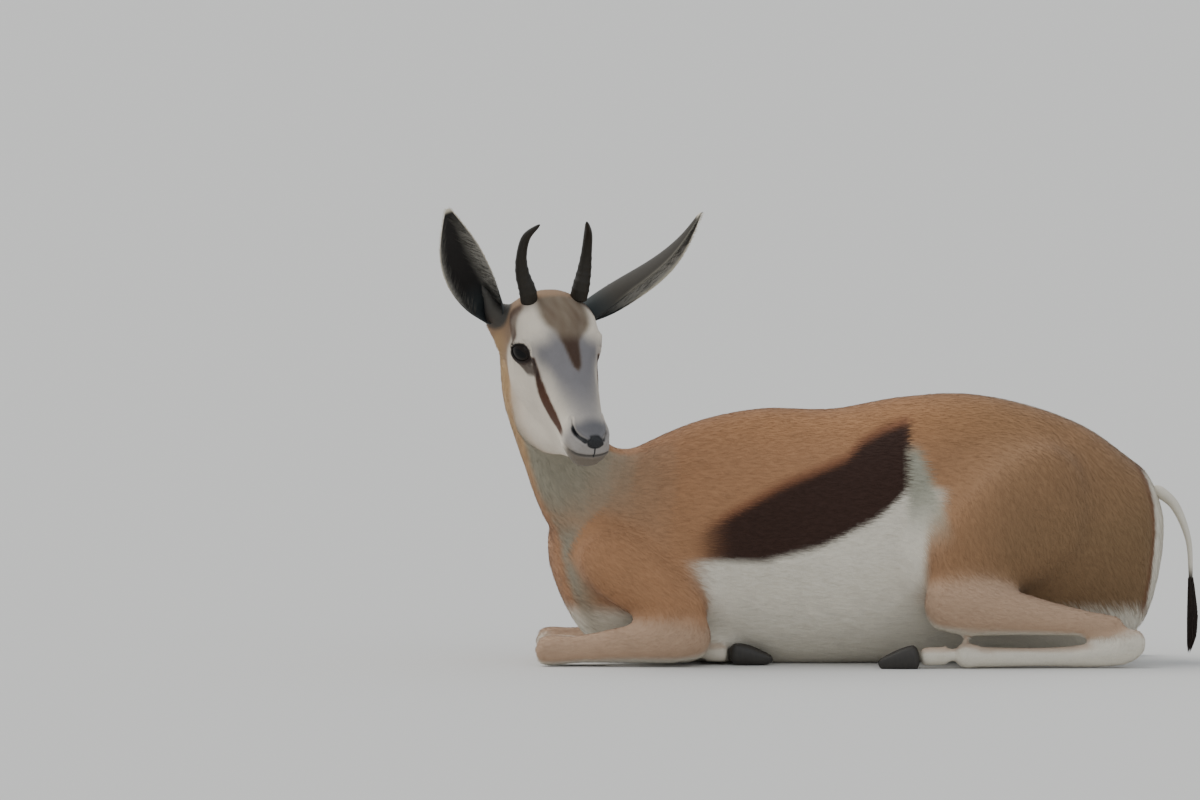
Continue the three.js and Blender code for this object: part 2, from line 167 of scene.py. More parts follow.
def rounded(t, cap):
    """0 at a tip, rising as a quarter circle to 1 at the cap's length."""
    if cap <= 0:
        return np.ones_like(t)
    return np.where(t < cap, np.sqrt(np.maximum(0, 1 - (1 - t / cap) ** 2)), 1.0)


def squared(c, power):
    """A sine or cosine pushed towards 1 or -1: its size to the power of 2 over power, sign kept."""
    return np.sign(c) * np.abs(c) ** (2 / power)


print("Half-way up a ramp:", ramp(0.5, 0, 1))
print("One width from a bell's centre:", round(bell(1, 0, 1), 3))

# %% Ovals along a curve
def axes_along(rows, t, dorsal=UP, ahead=None):
    """At each t: the way along the curve, the side, which is the dorsal way across it, and the top."""
    step = 1e-4
    if ahead is None:
        way = unit(smooth(rows[:, :3], t + step) - smooth(rows[:, :3], t - step))
    else:
        way = np.broadcast_to(ahead, (len(t), 3))
    dorsal = smooth(dorsal, t) if np.ndim(dorsal) == 2 else np.broadcast_to(dorsal, (len(t), 3))
    side = unit(np.cross(dorsal, way))
    return way, side, np.cross(way, side)


def feature_lift(features, x, angle):
    """The sum of bumps on a body: height times a bell along it times a bell round it, on both sides."""
    turn = np.degrees(np.arcsin(np.sin(angle)))
    lift = np.zeros(np.broadcast(x, angle).shape)
    for at, round_at, height, length, spread in features.values():
        lift += height * bell(x, at, length) * bell(turn, round_at, spread)
    return lift


def ovals(rows, around=32, along=40, caps=(0.1, 0.1), power=(2, 2), taper=0.0, lift=0.0, ends=0.6, **kind):
    """A closed body's grid. Point = centre + side * cos(angle) * width + top * sin(angle) * height,
    each squared off and shrunk to the tips by quarter circles. Lift is added to both sizes all
    over."""
    rows = np.asarray(rows, float)
    features = kind.get("features")
    v = np.linspace(0, 1, along + 1)
    t = v + (0.5 - 0.5 * np.cos(np.pi * v) - v) * ends
    angle = np.arange(around) * 2 * np.pi / around
    way, side, top = axes_along(rows, t, kind.get("dorsal", UP), kind.get("ahead"))
    size = smooth(rows[:, 3:6], t)[:, :, None]
    tip = (rounded(t, caps[0]) * rounded(1 - t, caps[1]))[:, None]
    c, s = np.cos(angle)[None], np.sin(angle)[None]
    if features:
        x = np.interp(t, np.linspace(0, 1, len(rows)), rows[:, 0])
        lift = lift + feature_lift(features, x[:, None], angle[None])
    narrow = 1 - taper * np.maximum(0, -s)
    wide = np.where(s > 0, squared(c, power[0]), squared(c, power[1])) * (size[:, 0] * narrow + lift)
    high = np.where(s > 0, squared(s, power[0]), squared(s, power[1]))
    high = high * (np.where(s > 0, size[:, 1], size[:, 2]) + lift)
    centre = smooth(rows[:, :3], t)[:, None]
    return centre + side[:, None] * (wide * tip)[..., None] + top[:, None] * (high * tip)[..., None]


TEST_ROWS = [[0, 0, 0, 1, 1, 1], [1, 0, 0, 1, 1, 1]]
print("Rings of a body and points in a ring:", ovals(TEST_ROWS).shape[:2])

# %% Close a body's grid
def closed_grid(points):
    """Vertices and faces of a body from its rings: the first and last rings are single poles."""
    rings, around = points.shape[0] - 2, points.shape[1]
    verts = np.concatenate([points[:1, 0], points[1:-1].reshape(-1, 3), points[-1:, 0]])
    i = np.arange(rings - 1)[:, None] * around
    j = np.arange(around)[None]
    k = (j + 1) % around
    quads = 1 + np.stack([i + j, i + k, i + around + k, i + around + j], -1).reshape(-1, 4)
    last = len(verts) - 1
    first_ring, last_ring = 1 + j[0], 1 + (rings - 1) * around + j[0]
    start = np.stack([np.zeros_like(j[0]), 1 + k[0], first_ring], -1)
    end = np.stack([np.full_like(j[0], last), last_ring, 1 + (rings - 1) * around + k[0]], -1)
    tris = np.concatenate([start, end, quads[:, [0, 1, 2]], quads[:, [0, 2, 3]]])
    return verts, outward(verts, tris)


def outward(verts, tris):
    """The triangles, turned round if the volume they close comes out below 0."""
    a, b, c = (verts[tris[:, k]] for k in range(3))
    return tris if np.einsum("ij,ij->", a, np.cross(b, c)) > 0 else tris[:, ::-1]


test_verts, test_tris = closed_grid(ovals(TEST_ROWS))
print("A closed body:", len(test_verts), "points and", len(test_tris), "triangles")

# %% [markdown]
# ## Putting arrays into Blender
# A mesh in Blender is filled in one go from whole arrays, which is quick even for half a million
# triangles. Every piece is finished the same way: it rides on the part's one body, takes its material,
# and hides the solids that it stands for.

# %% Meshes, pieces and the first helpers
def build_mesh(name, verts_mm, tris):
    """A smooth-shaded mesh from points in mm and triangles."""
    mesh = bpy.data.meshes.new(name)
    mesh.vertices.add(len(verts_mm))
    mesh.vertices.foreach_set("co", (np.asarray(verts_mm) * MM).astype(np.float32).ravel())
    mesh.loops.add(3 * len(tris))
    mesh.loops.foreach_set("vertex_index", np.asarray(tris, np.int32).ravel())
    mesh.polygons.add(len(tris))
    mesh.polygons.foreach_set("loop_start", np.arange(0, 3 * len(tris), 3, dtype=np.int32))
    mesh.polygons.foreach_set("use_smooth", np.ones(len(tris), bool))
    mesh.update(calc_edges=True)
    mesh.validate()
    return mesh


def set_colours(mesh, colours):
    """Linear colours, one for each vertex, as the mesh's attribute named Coat."""
    layer = mesh.color_attributes.new("Coat", "FLOAT_COLOR", "POINT")
    layer.data.foreach_set("color", np.c_[colours, np.ones(len(colours))].astype(np.float32).ravel())


def add_piece(name, mesh, material, stands_for=()):
    """The mesh as a finished piece of the part."""
    piece = bpy.data.objects.new(name, mesh)
    bpy.context.scene.collection.objects.link(piece)
    mesh.materials.clear()
    mesh.materials.append(material)
    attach(piece, "root")
    if stands_for:
        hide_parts(*stands_for)
    print(f"{name}: {len(mesh.vertices)} vertices, {len(mesh.polygons)} faces")
    return piece


def linear(red, green, blue):
    """A screen colour of 0 to 255 as linear light, by the usual curve."""
    c = np.array([red, green, blue]) / 255
    return np.where(c <= 0.04045, c / 12.92, ((c + 0.055) / 1.055) ** 2.4)


print("A middle grey on the screen as light:", linear(128, 128, 128).round(3))

# %% [markdown]
# ## Shader expressions
# A material is a tree of nodes. To keep the trees short to write, a Wire wraps one socket, and sums and
# products of wires add their Math nodes. Colours never go through a Math node: they go through Mix
# nodes.

# %% Wires
class Wire:
    """One output socket, with arithmetic that adds Math nodes to its material."""

    def __init__(self, book, socket):
        self.book = book
        self.socket = socket

    def math(self, operation, first, second):
        """A Math node on two wires or numbers."""
        return self.book.node("ShaderNodeMath", {"operation": operation}, {0: first, 1: second})

    def __add__(self, other):
        return self.math("ADD", self, other)

    def __mul__(self, other):
        return self.math("MULTIPLY", self, other)


print("A wire can be added to and multiplied, as a number can")

# %% A material's book of nodes
class Book:
    """A material's node tree. node() makes any node from its type, settings and inputs."""

    def __init__(self, name, **constants):
        self.material = bpy.data.materials.new(name)
        self.material.use_nodes = True
        self.tree = self.material.node_tree
        self.shader = next(n for n in self.tree.nodes if n.type == "BSDF_PRINCIPLED")
        for socket, value in constants.items():
            self.shader.inputs[socket.replace("_", " ")].default_value = value

    def node(self, kind, settings=None, inputs=None, output=0):
        """A new node, as the wire of one of its outputs."""
        made = self.tree.nodes.new(kind)
        for key, value in (settings or {}).items():
            setattr(made, key, value)
        for key, value in (inputs or {}).items():
            self.feed(made.inputs[key], value)
        return Wire(self, made.outputs[output])

    def feed(self, socket, value):
        """A wire or a plain value goes into a socket."""
        if isinstance(value, Wire):
            self.tree.links.new(value.socket, socket)
        else:
            socket.default_value = value

    def shade(self, **sockets):
        """The material, once its main shader's inputs are fed."""
        for socket, value in sockets.items():
            self.feed(self.shader.inputs[socket.replace("_", " ")], value)
        return self.material

    def where(self):
        """The place on the piece, as a texture reads it."""
        return self.node("ShaderNodeTexCoord", output="Object")

    def noise(self, scale, detail=4.0, roughness=0.6, stretch=None):
        """A grey noise of 0 to 1, longer along the axes whose stretch is small."""
        vector = self.where()
        if stretch:
            vector = self.node("ShaderNodeMapping", {}, {"Vector": vector, "Scale": stretch})
        inputs = {"Vector": vector, "Scale": scale, "Detail": detail, "Roughness": roughness}
        return self.node("ShaderNodeTexNoise", {}, inputs)

    def mix(self, share, first, second, blend="MIX"):
        """Two colours in one, by a share."""
        settings = {"data_type": "RGBA", "blend_type": blend}
        return self.node("ShaderNodeMix", settings, {0: share, 6: first, 7: second}, output=2)

    def bump(self, height, depth_mm, strength=1.0, after=None):
        """A height turned into small dents in the light, on top of an earlier bump if one is given."""
        inputs = {"Height": height, "Distance": depth_mm * MM, "Strength": strength}
        if after is not None:
            inputs["Normal"] = after
        return self.node("ShaderNodeBump", {}, inputs)


print("A book makes nodes, noise, mixes of colours and bumps")

# %% [markdown]
# ## Floor and light
# The stage is a plain pale floor that runs far back, lit by a pale sky and two very soft suns: one high
# on the left and a little behind, as the day's light falls in the photograph, and a weak one in front.

# %% Stage
FLOOR_RADIUS, FLOOR_CORNERS = 160, 96
floor_book = Book("stage_floor", Roughness=0.9, Base_Color=(0.62, 0.61, 0.59, 1))
floor_mesh = bpy.data.meshes.new("floor")
floor_angle = np.arange(FLOOR_CORNERS) * 2 * np.pi / FLOOR_CORNERS
floor_rim = np.stack([np.cos(floor_angle), np.sin(floor_angle), 0 * floor_angle], -1) * FLOOR_RADIUS
floor_mesh.from_pydata(floor_rim.tolist(), [], [list(range(FLOOR_CORNERS))])
floor_mesh.materials.append(floor_book.material)
floor = bpy.data.objects.new("floor", floor_mesh)
bpy.context.scene.collection.objects.link(floor)
floor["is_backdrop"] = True

SKY = (0.90, 0.95, 1.0, 1)
SKY_STRENGTH = 0.75
world = bpy.data.worlds.new("sky")
world.use_nodes = True
background = world.node_tree.nodes["Background"]
background.inputs["Color"].default_value = SKY
background.inputs["Strength"].default_value = SKY_STRENGTH
bpy.context.scene.world = world


def soft_sun(name, toward, strength, degrees, colour):
    """A sun that shines from the way it is placed in, with a wide disc so that its shadows are soft."""
    data = bpy.data.lights.new(name, "SUN")
    data.energy = strength
    data.angle = math.radians(degrees)
    data.color = colour
    light = bpy.data.objects.new(name, data)
    z = unit(np.array(toward, float))
    x = unit(np.cross(UP, z))
    turn = np.stack([x, np.cross(z, x), z], 1)
    light.rotation_euler = Matrix(turn.tolist()).to_euler()
    bpy.context.scene.collection.objects.link(light)


soft_sun("key", (-0.75, 0.2, 1.0), 1.9, 45, (1.0, 0.98, 0.94))
soft_sun("front", (0.3, -1.0, 0.55), 0.45, 60, (0.96, 0.98, 1.0))
print("Floor, sky and two suns")

# %% [markdown]
# ## Sizes of the body
# These rows are the solids' own: millimetres, the chest towards -X and her left side towards -Y. Each
# row is the centre of an oval, then half its width, its height above the centre and its depth below it.
# A leg's rows are given for her left side.

# %% Trunk and neck
TORSO = [
    [-238, 0, 132, 56, 60, 66],
    [-190, 0, 128, 70, 92, 104],
    [-135, 0, 126, 78, 119, 122],
    [-70, 0, 122, 87, 150, 124],
    [0, 0, 118, 96, 168, 124],
    [80, 0, 116, 103, 170, 122],
    [155, 0, 122, 101, 177, 126],
    [228, 0, 134, 93, 169, 134],
    [300, 0, 140, 84, 150, 138],
    [365, 0, 144, 74, 121, 137],
    [420, 0, 148, 60, 78, 114],
    [452, 0, 150, 47, 54, 84],
]
TRUNK_FEATURES = {
    "shoulder blade": [-98, 24, 6, 44, 26],
    "behind the shoulder": [-28, 8, -4, 30, 26],
    "flank hollow": [196, 16, -5, 30, 24],
    "hip point": [318, 48, 4, 34, 16],
    "loin": [180, 72, -2, 60, 12],
    "belly": [80, -24, 4, 80, 24],
}
NECK = [
    [-96, 4, 160, 66, 88, 96],
    [-140, 0, 172, 62, 72, 92],
    [-192, -8, 202, 51, 50, 74],
    [-226, -20, 248, 43, 49, 58],
    [-240, -32, 298, 48, 47, 54],
    [-246, -42, 346, 47, 46, 50],
    [-252, -48, 378, 43, 41, 43],
    [-255, -53, 404, 33, 31, 31],
]
NAPE = [
    [0.3, 0, 0.95],
    [0.5, 0.2, 0.85],
    [0.65, 0.55, 0.5],
    [0.35, 0.9, 0.3],
    [0, 1, 0.15],
    [-0.25, 0.95, 0.1],
    [-0.35, 0.9, 0.1],
    [-0.4, 0.9, 0.1],
]
TAIL = [
    [440, 0, 196, 11, 9, 9],
    [464, -3, 176, 10, 7, 7],
    [479, -8, 140, 7, 5, 5],
    [482, -13, 104, 5, 4, 4],
    [481, -16, 78, 4, 3.5, 3.5],
]

print("Trunk, mm long:", TORSO[-1][0] - TORSO[0][0])

# %% Forelegs
UPPER_ARM = [
    [-196, -62, 142, 26, 42, 42],
    [-150, -76, 104, 28, 46, 40],
    [-100, -86, 70, 27, 38, 34],
    [-62, -92, 50, 20, 26, 26],
]
FOREARM = [
    [-56, -92, 42, 19, 28, 30],
    [-96, -92, 34, 23, 29, 31],
    [-150, -88, 26, 18, 21, 23],
    [-202, -84, 20, 15, 16, 18],
    [-236, -82, 19, 17, 17, 20],
    [-250, -80, 20, 13, 13, 15],
]
FORE_CANNON = [
    [-247, -55, 18, 13, 13, 14],
    [-220, -54, 16, 11, 11, 14],
    [-160, -55, 13, 9, 10, 12],
    [-105, -57, 13, 10, 11, 12],
    [-84, -58, 15, 13, 14, 16],
    [-72, -58, 17, 11, 12, 12],
]
FORE_PASTERN = [
    [-68, -58, 16, 10, 11, 12],
    [-54, -58, 14, 9.5, 10, 12],
    [-36, -58, 14, 12, 11, 13],
]
FORE_CLAW = [
    [-35, -58, 14, 6.5, 11, 12],
    [-18, -58, 13, 7.5, 10, 12],
    [2, -58, 9, 5.5, 6, 9],
    [14, -58, 6, 2, 2.5, 4],
]
print("Fore feet, mm from the middle:", -FORE_CANNON[0][1])

# %% Hind legs
THIGH = [
    [372, -44, 196, 34, 62, 62],
    [322, -62, 178, 44, 78, 78],
    [262, -80, 142, 44, 72, 70],
    [214, -96, 108, 36, 50, 50],
    [186, -104, 88, 24, 30, 34],
]
SHANK = [
    [182, -112, 78, 26, 30, 34],
    [236, -114, 70, 28, 34, 36],
    [300, -112, 58, 20, 24, 24],
    [364, -110, 48, 14, 17, 16],
    [404, -110, 42, 13, 17, 18],
]
HIND_CANNON = [
    [418, -112, 44, 12, 12, 14],
    [406, -113, 26, 14, 17, 22],
    [370, -115, 17, 12, 13, 18],
    [310, -118, 14, 10, 11, 14],
    [250, -121, 14, 11, 12, 15],
    [228, -122, 16, 13, 14, 18],
    [216, -122, 17, 11, 12, 13],
]
HIND_PASTERN = [
    [212, -122, 16, 10.5, 12, 13],
    [196, -122, 15, 10, 11, 13],
    [178, -122, 14, 12, 12, 14],
]
HIND_CLAW = [
    [176, -122, 14, 7, 13, 15],
    [160, -122, 12, 7.5, 11, 14],
    [142, -122, 8, 5.5, 7, 9],
    [130, -122, 5, 2, 3, 6],
]
CLAW_APART = 8.4
SIDES = {"left": -1, "right": 1}


def on_side(side, rows):
    """A leg's rows, whose Y is given for her left, carried to the side: -1 is left and 1 is right."""
    rows = np.array(rows, float)
    rows[:, 1] *= -side
    return rows


print("Hind feet, mm from the middle:", -HIND_CANNON[0][1])

# %% [markdown]
# ## The head's own frame
# The head is turned back over her left side and tipped down, so its parts are placed in its own frame:
# X runs to the nose, Y to her left, and Z out of the forehead. The origin lies midway between the eyes.

# %% Head
HEAD_AT = np.array([-223.0, -123.0, 348.0])
HEAD_FORWARD = unit(np.array([0.292, -0.64, -0.712]))
HEAD_DORSAL = unit(np.cross(HEAD_FORWARD, np.array([0.925, 0.375, 0.04])))
HEAD_LEFTWARD = np.cross(HEAD_DORSAL, HEAD_FORWARD)
HEAD_AXES = np.stack([HEAD_FORWARD, HEAD_LEFTWARD, HEAD_DORSAL])
HEAD = [
    [-92, 0, -6, 30, 24, 30],
    [-68, 0, -6, 42, 40, 50],
    [-38, 0, -8, 47, 46, 70],
    [-8, 0, -10, 47, 45, 77],
    [24, 0, -14, 41, 43, 72],
    [54, 0, -16, 33, 37, 60],
    [84, 0, -17, 27, 32, 46],
    [108, 0, -17, 25, 29, 33],
    [126, 0, -17, 23, 24, 26],
    [138, 0, -16, 18, 18, 19],
]
HEAD_FEATURES = {
    "brow": [-8, 38, 5, 18, 15],
    "temple": [-40, 30, 8, 26, 18],
    "ear base": [-74, -6, 8, 20, 24],
    "eye hollow": [4, 4, -4, 16, 13],
    "cheek ridge": [14, -8, 2.5, 26, 10],
    "jaw muscle": [-18, -38, 4, 24, 18],
    "tear hollow": [36, 30, -2.5, 16, 14],
    "nostril wing": [112, 28, 2.5, 10, 18],
    "upper lip": [112, -12, 2.5, 14, 16],
    "lip corner": [94, -30, -1.5, 10, 12],
    "chin": [114, -80, 2, 12, 24],
}
GULLET = [
    [-46, 0, -74, 20, 18, 24],
    [-20, 0, -80, 34, 30, 36],
    [16, 0, -84, 34, 34, 40],
    [50, 0, -70, 26, 30, 36],
    [80, 0, -50, 19, 18, 26],
    [106, 0, -36, 14, 10, 18],
    [126, 0, -26, 8, 4, 10],
]


def to_head(points):
    """World points in the head's frame: their offset from its origin along each of its axes."""
    return (points - HEAD_AT) @ HEAD_AXES.T


def from_head(points):
    """The head's points in the world: its origin and so much along each of its axes."""
    return HEAD_AT + points @ HEAD_AXES


print("Nose, mm in the world:", from_head(np.array([HEAD[-1][0], 0, HEAD[-1][2]])).round())

# %% [markdown]
# ## One skin
# Real skin has no seams at the joints, so the solids can't just be shown side by side. The same bodies
# are made again, a coat's depth smaller, and put into one mesh. A voxel remesh melts them into a single
# closed surface, and a few rounds of smoothing turn the creases where a thigh or the neck meets the
# trunk into soft folds.

# %% The flesh as closed bodies
COAT_DEPTH = {"torso": 2.6, "neck": 1.8, "head": 1.0, "upper_arm": 2.5, "thigh": 2.6, "shank": 2.0}
EAR_ROOTS = {"right": [-80, -51, -12], "left": [-68, 44, -6]}


def body(name, rows, **options):
    """A body of ovals, made smaller by the depth of the coat there."""
    depth = COAT_DEPTH.get(name, 1.5)
    return ovals(rows, lift=-depth, **options)


flesh = {
    "torso": (TORSO, 1, {"ahead": ALONG_X, "caps": (0.09, 0.09), "power": (2.2, 2.2), "taper": 0.22}),
    "neck": (NECK, -1, {"dorsal": np.array(NAPE, float), "caps": (0.06, 0.16), "ends": 0.3}),
    "tail": (TAIL, 1, {"dorsal": ALONG_X}),
}
flesh["torso"][2].update(features=TRUNK_FEATURES, around=96, along=150)
flesh["neck"][2].update(around=72, along=90)
for side_name, side in SIDES.items():
    for part, rows, options in (
        ("upper_arm", UPPER_ARM, {"caps": (0.25, 0.25), "around": 40, "along": 50}),
        ("forearm", FOREARM, {"around": 40, "along": 60}),
        ("fore_cannon", FORE_CANNON, {"along": 60}),
        ("fore_pastern", FORE_PASTERN, {}),
        ("thigh", THIGH, {"caps": (0.25, 0.3), "around": 60, "along": 60}),
        ("shank", SHANK, {"around": 40, "along": 60}),
        ("hind_cannon", HIND_CANNON, {"dorsal": np.array([-0.4, 0, 1]), "along": 60}),
        ("hind_pastern", HIND_PASTERN, {}),
    ):
        flesh[f"{part}_{side_name}"] = (on_side(side, rows), 1, options)
print(len(flesh) + 1, "bodies of flesh")

# %% Balls for the eyes and stubs for the ears
EYE_AT = np.array([-11.7, 37.5, 1.2])
EYE_RADIUS = 16.4
LID_THICK = 1.9
EAR_STUB_RADIUS = 12.0
STUB_ROWS = [[-26, 1.2, 7], [-8, 1.15, 7], [7, 0.9, 6], [22, 0.6, 4], [36, 0.36, 1], [48, 0.2, -2]]
UNDER_EAR = [
    [-76, 46, 4, 12, 14, 14],
    [-70, 46, -12, 13, 15, 15],
    [-60, 41, -34, 11, 13, 13],
    [-48, 34, -56, 6, 8, 8],
]
EAR_AXES = {
    "right": {"tip": [-106, -137, 137], "face": [0.485, -0.45, 0.73]},
    "left": {"tip": [-104, 174, 109], "face": [0.82, 0.5, -0.1]},
}


def part_of(key):
    """The part's name without its side."""
    return key.removesuffix("_left").removesuffix("_right")


def ball(centre, radius, around=32, along=24):
    """A sphere: the centre and the radius times the sines and cosines of two angles."""
    down = np.linspace(0, np.pi, along + 1)[:, None]
    turn = (np.arange(around) * 2 * np.pi / around)[None]
    across = [np.sin(down) * np.cos(turn), np.sin(down) * np.sin(turn)]
    return np.asarray(centre) + radius * np.stack([*across, np.cos(down) + 0 * turn], -1)


def ear_frame(side_name):
    """An ear's root, length and axes in the head's frame: up to the tip, out of its face and across."""
    root = np.array(EAR_ROOTS[side_name], float)
    up = np.array(EAR_AXES[side_name]["tip"], float) - root
    length = np.linalg.norm(up)
    up = up / length
    face = np.array(EAR_AXES[side_name]["face"])
    out = unit(face - up * (face @ up))
    return root, length, up, out, np.cross(up, out)


def ear_stub(side_name):
    """The ear's root as a round body along its up axis. A row is the height, the share of the radius,
    and how far out it lies: the stub tapers to a point inside the leaf."""
    root, _, up, out, _ = ear_frame(side_name)
    r = EAR_STUB_RADIUS
    rows = [[*(root + out * away + up * high), r * w, r * w, r * w] for high, w, away in STUB_ROWS]
    return ovals(rows, dorsal=out)


print("Eyes, mm apart:", 2 * EYE_AT[1])

# %% Melt the bodies together
VOXEL = 5.0
HEAD_SHAPE = {"ahead": ALONG_X, "caps": (0.12, 0.08), "power": (2.15, 2.7), "taper": 0.22}
HEAD_SHAPE.update(features=HEAD_FEATURES, around=96, along=120)


def flesh_grids():
    """Every body of the skin as closed triangles in the world, with the gullet and the ears' roots."""
    for key, (rows, _, options) in flesh.items():
        if key != "tail":
            yield closed_grid(body(part_of(key), rows, **options))
    head_parts = [body("head", HEAD, **HEAD_SHAPE), ovals(GULLET, ahead=ALONG_X)]
    for side_name, side in SIDES.items():
        head_parts.append(ball(EYE_AT * [1, -side, 1], EYE_RADIUS + LID_THICK))
        head_parts.append(ear_stub(side_name))
        head_parts.append(ovals(on_side(side, UNDER_EAR), dorsal=ALONG_X))
    for points in head_parts:
        verts, tris = closed_grid(points)
        yield from_head(verts), tris


def joined(grids):
    """Many bodies as one list of points and one of triangles."""
    all_verts, all_tris, count = [], [], 0
    for verts, tris in grids:
        all_verts.append(verts)
        all_tris.append(tris + count)
        count += len(verts)
    return np.concatenate(all_verts), np.concatenate(all_tris)


def melted(verts, tris, voxel_mm):
    """One closed surface round overlapping bodies, by a voxel remesh."""
    holder = bpy.data.objects.new("raw", build_mesh("raw", verts, tris))
    bpy.context.scene.collection.objects.link(holder)
    melt = holder.modifiers.new("melt", "REMESH")
    melt.mode = "VOXEL"
    melt.voxel_size = voxel_mm * MM
    depsgraph = bpy.context.evaluated_depsgraph_get()
    made = bpy.data.meshes.new_from_object(holder.evaluated_get(depsgraph))
    bpy.data.objects.remove(holder)
    return made


skin_mesh = melted(*joined(flesh_grids()), VOXEL)
print("Skin after the melt:", len(skin_mesh.vertices), "vertices")

# %% [markdown]
# ## Finer where it matters
# Five millimetres is fine enough for a flank, and far too coarse for an eyelid. So the faces of the
# head are split once, those of the muzzle and round the eyes twice, and those at the lids, nostrils and
# lips three times.

# %% Split the faces of the head
def points_of(mesh):
    """The mesh's vertices in mm."""
    flat = np.empty(3 * len(mesh.vertices), np.float32)
    mesh.vertices.foreach_get("co", flat)
    return flat.reshape(-1, 3).astype(float) / MM


def edges_of(mesh):
    """The two vertices of each edge."""
    flat = np.empty(2 * len(mesh.edges), np.int32)
    mesh.edges.foreach_get("vertices", flat)
    return flat.reshape(-1, 2)


def tris_of(mesh):
    """The three vertices of each triangle, once every face is cut into triangles."""
    mesh.calc_loop_triangles()
    flat = np.empty(3 * len(mesh.loop_triangles), np.int32)
    mesh.loop_triangles.foreach_get("vertices", flat)
    return flat.reshape(-1, 3)


def refine(mesh, chosen):
    """Each face whose middle is chosen is split in four."""
    work = bmesh.new()
    work.from_mesh(mesh)
    middles = np.array([face.calc_center_median() for face in work.faces]) / MM
    picked = chosen(to_head(middles))
    edges = {edge for face, yes in zip(work.faces, picked) if yes for edge in face.edges}
    bmesh.ops.subdivide_edges(work, edges=list(edges), cuts=1, use_grid_fill=True)
    work.to_mesh(mesh)
    work.free()


def eye_distance(h):
    """The distance to the nearer eye's centre."""
    return np.linalg.norm(np.abs(h * [0, 1, 0]) + h * [1, 0, 1] - EYE_AT, axis=-1)


def within(h, low, high):
    """Whether a point lies in a box of the head's frame."""
    return ((h > low) & (h < high)).all(1)


HEAD_BOX = ([-100, -75, -135], [155, 75, 60])
MUZZLE_BOX = ([86, -40, -50], [155, 40, 26])
NOSE_BOX = ([92, -40, -34], [155, 40, 14])
refine(skin_mesh, lambda h: within(h, *HEAD_BOX))
refine(skin_mesh, lambda h: within(h, *MUZZLE_BOX) | (eye_distance(h) < 29))
refine(skin_mesh, lambda h: within(h, *NOSE_BOX) | (eye_distance(h) < 22) & (h[:, 0] > -32))
print("Skin once split:", len(skin_mesh.vertices), "vertices")

# %% [markdown]
# ## Which body is nearest, and which way the hair lies
# For each point of the skin, every body says how near it is, measured in the body's own oval so that 1
# is its surface. The hair lies along the nearest body: back from the nose to the poll, down the neck,
# back along the trunk and down the legs. On the haunch it lies down and a little back, and over the
# rump the trunk's own hair turns down to meet it. Where two bodies are about as near, the two ways are
# blended.

# %% Nearness and lie
def nearness(points, rows, dorsal=UP, ahead=None, steps=26):
    """For each point: its distance from the body's middle line in units of the oval, and the way
    there."""
    rows = np.asarray(rows, float)
    t = np.linspace(0, 1, steps)
    way, side, top = axes_along(rows, t, dorsal, ahead)
    centre, size = smooth(rows[:, :3], t), smooth(rows[:, 3:6], t)
    gap = np.linalg.norm(np.diff(centre, axis=0), axis=1).mean()
    best = np.full(len(points), 1e9)
    lie = np.zeros((len(points), 3))
    for k in range(steps):
        d = points - centre[k]
        across = d @ side[k] / size[k, 0]
        above = d @ top[k]
        above = above / np.where(above > 0, size[k, 1], size[k, 2])
        along = np.maximum(np.abs(d @ way[k]) / gap - 0.5, 0)
        q = np.sqrt(across**2 + above**2 + along**2)
        nearer = q < best
        best[nearer] = q[nearer]
        lie[nearer] = way[k]
    return best, lie


def neighbour_mean(edges, count):
    """A function that gives each vertex the mean of its neighbours' values."""
    ends = np.concatenate([edges[:, 0], edges[:, 1]])
    others = np.concatenate([edges[:, 1], edges[:, 0]])
    degree = np.maximum(np.bincount(ends, minlength=count), 1)

    def mean(values):
        columns = [np.bincount(ends, values[others, k], count) for k in range(values.shape[1])]
        return np.stack(columns, 1) / degree[:, None]

    return mean


def normals_of(verts, tris):
    """Each vertex's normal: the sum of its triangles' normals, each as long as the triangle is large."""
    a, b, c = (verts[tris[:, k]] for k in range(3))
    face = np.cross(b - a, c - a)
    total = np.zeros((len(verts), 3))
    for axis in range(3):
        total[:, axis] = sum(np.bincount(tris[:, k], face[:, axis], len(verts)) for k in range(3))
    return unit(total)


skin_points = points_of(skin_mesh)
skin_mean = neighbour_mean(edges_of(skin_mesh), len(skin_points))
print("Each point has", round(2 * len(skin_mesh.edges) / len(skin_points), 1), "neighbours")

# %% Shares of the bodies and the lie of the hair
THIGH_LIE = (0.35, 0.0, -0.94)
RUMP_TURNS_DOWN = 1.6
SHARE_SOFT, CONTEST_SOFT = 0.12, 0.22
part_names = [key for key in flesh if key != "tail"] + ["head"]
near, lies = [], []
for key in part_names[:-1]:
    rows, sense, options = flesh[key]
    q, lie = nearness(skin_points, rows, options.get("dorsal", UP), options.get("ahead"))
    near.append(q)
    lie = np.tile(THIGH_LIE, (len(lie), 1)) if part_of(key) == "thigh" else lie * sense
    if key == "torso":
        lie = lie - UP * (RUMP_TURNS_DOWN * ramp(skin_points[:, 0], 230, 370))[:, None]
    lies.append(unit(lie))
q, lie = nearness(to_head(skin_points), HEAD, ahead=ALONG_X)
near.append(q)
lies.append(-lie @ HEAD_AXES)
near = np.array(near)
part_share = np.exp(-(near - near.min(0)) / SHARE_SOFT)
part_share /= part_share.sum(0)
nearest = near.argmin(0)
skin_lie = np.einsum("pn,pnk->nk", part_share, np.array(lies))
ranked = np.sort(near, axis=0)
contest = bell(ranked[1], ranked[0], CONTEST_SOFT)
print("Nearest body:", {part_names[k]: int(n) for k, n in enumerate(np.bincount(nearest)) if n > 2500})

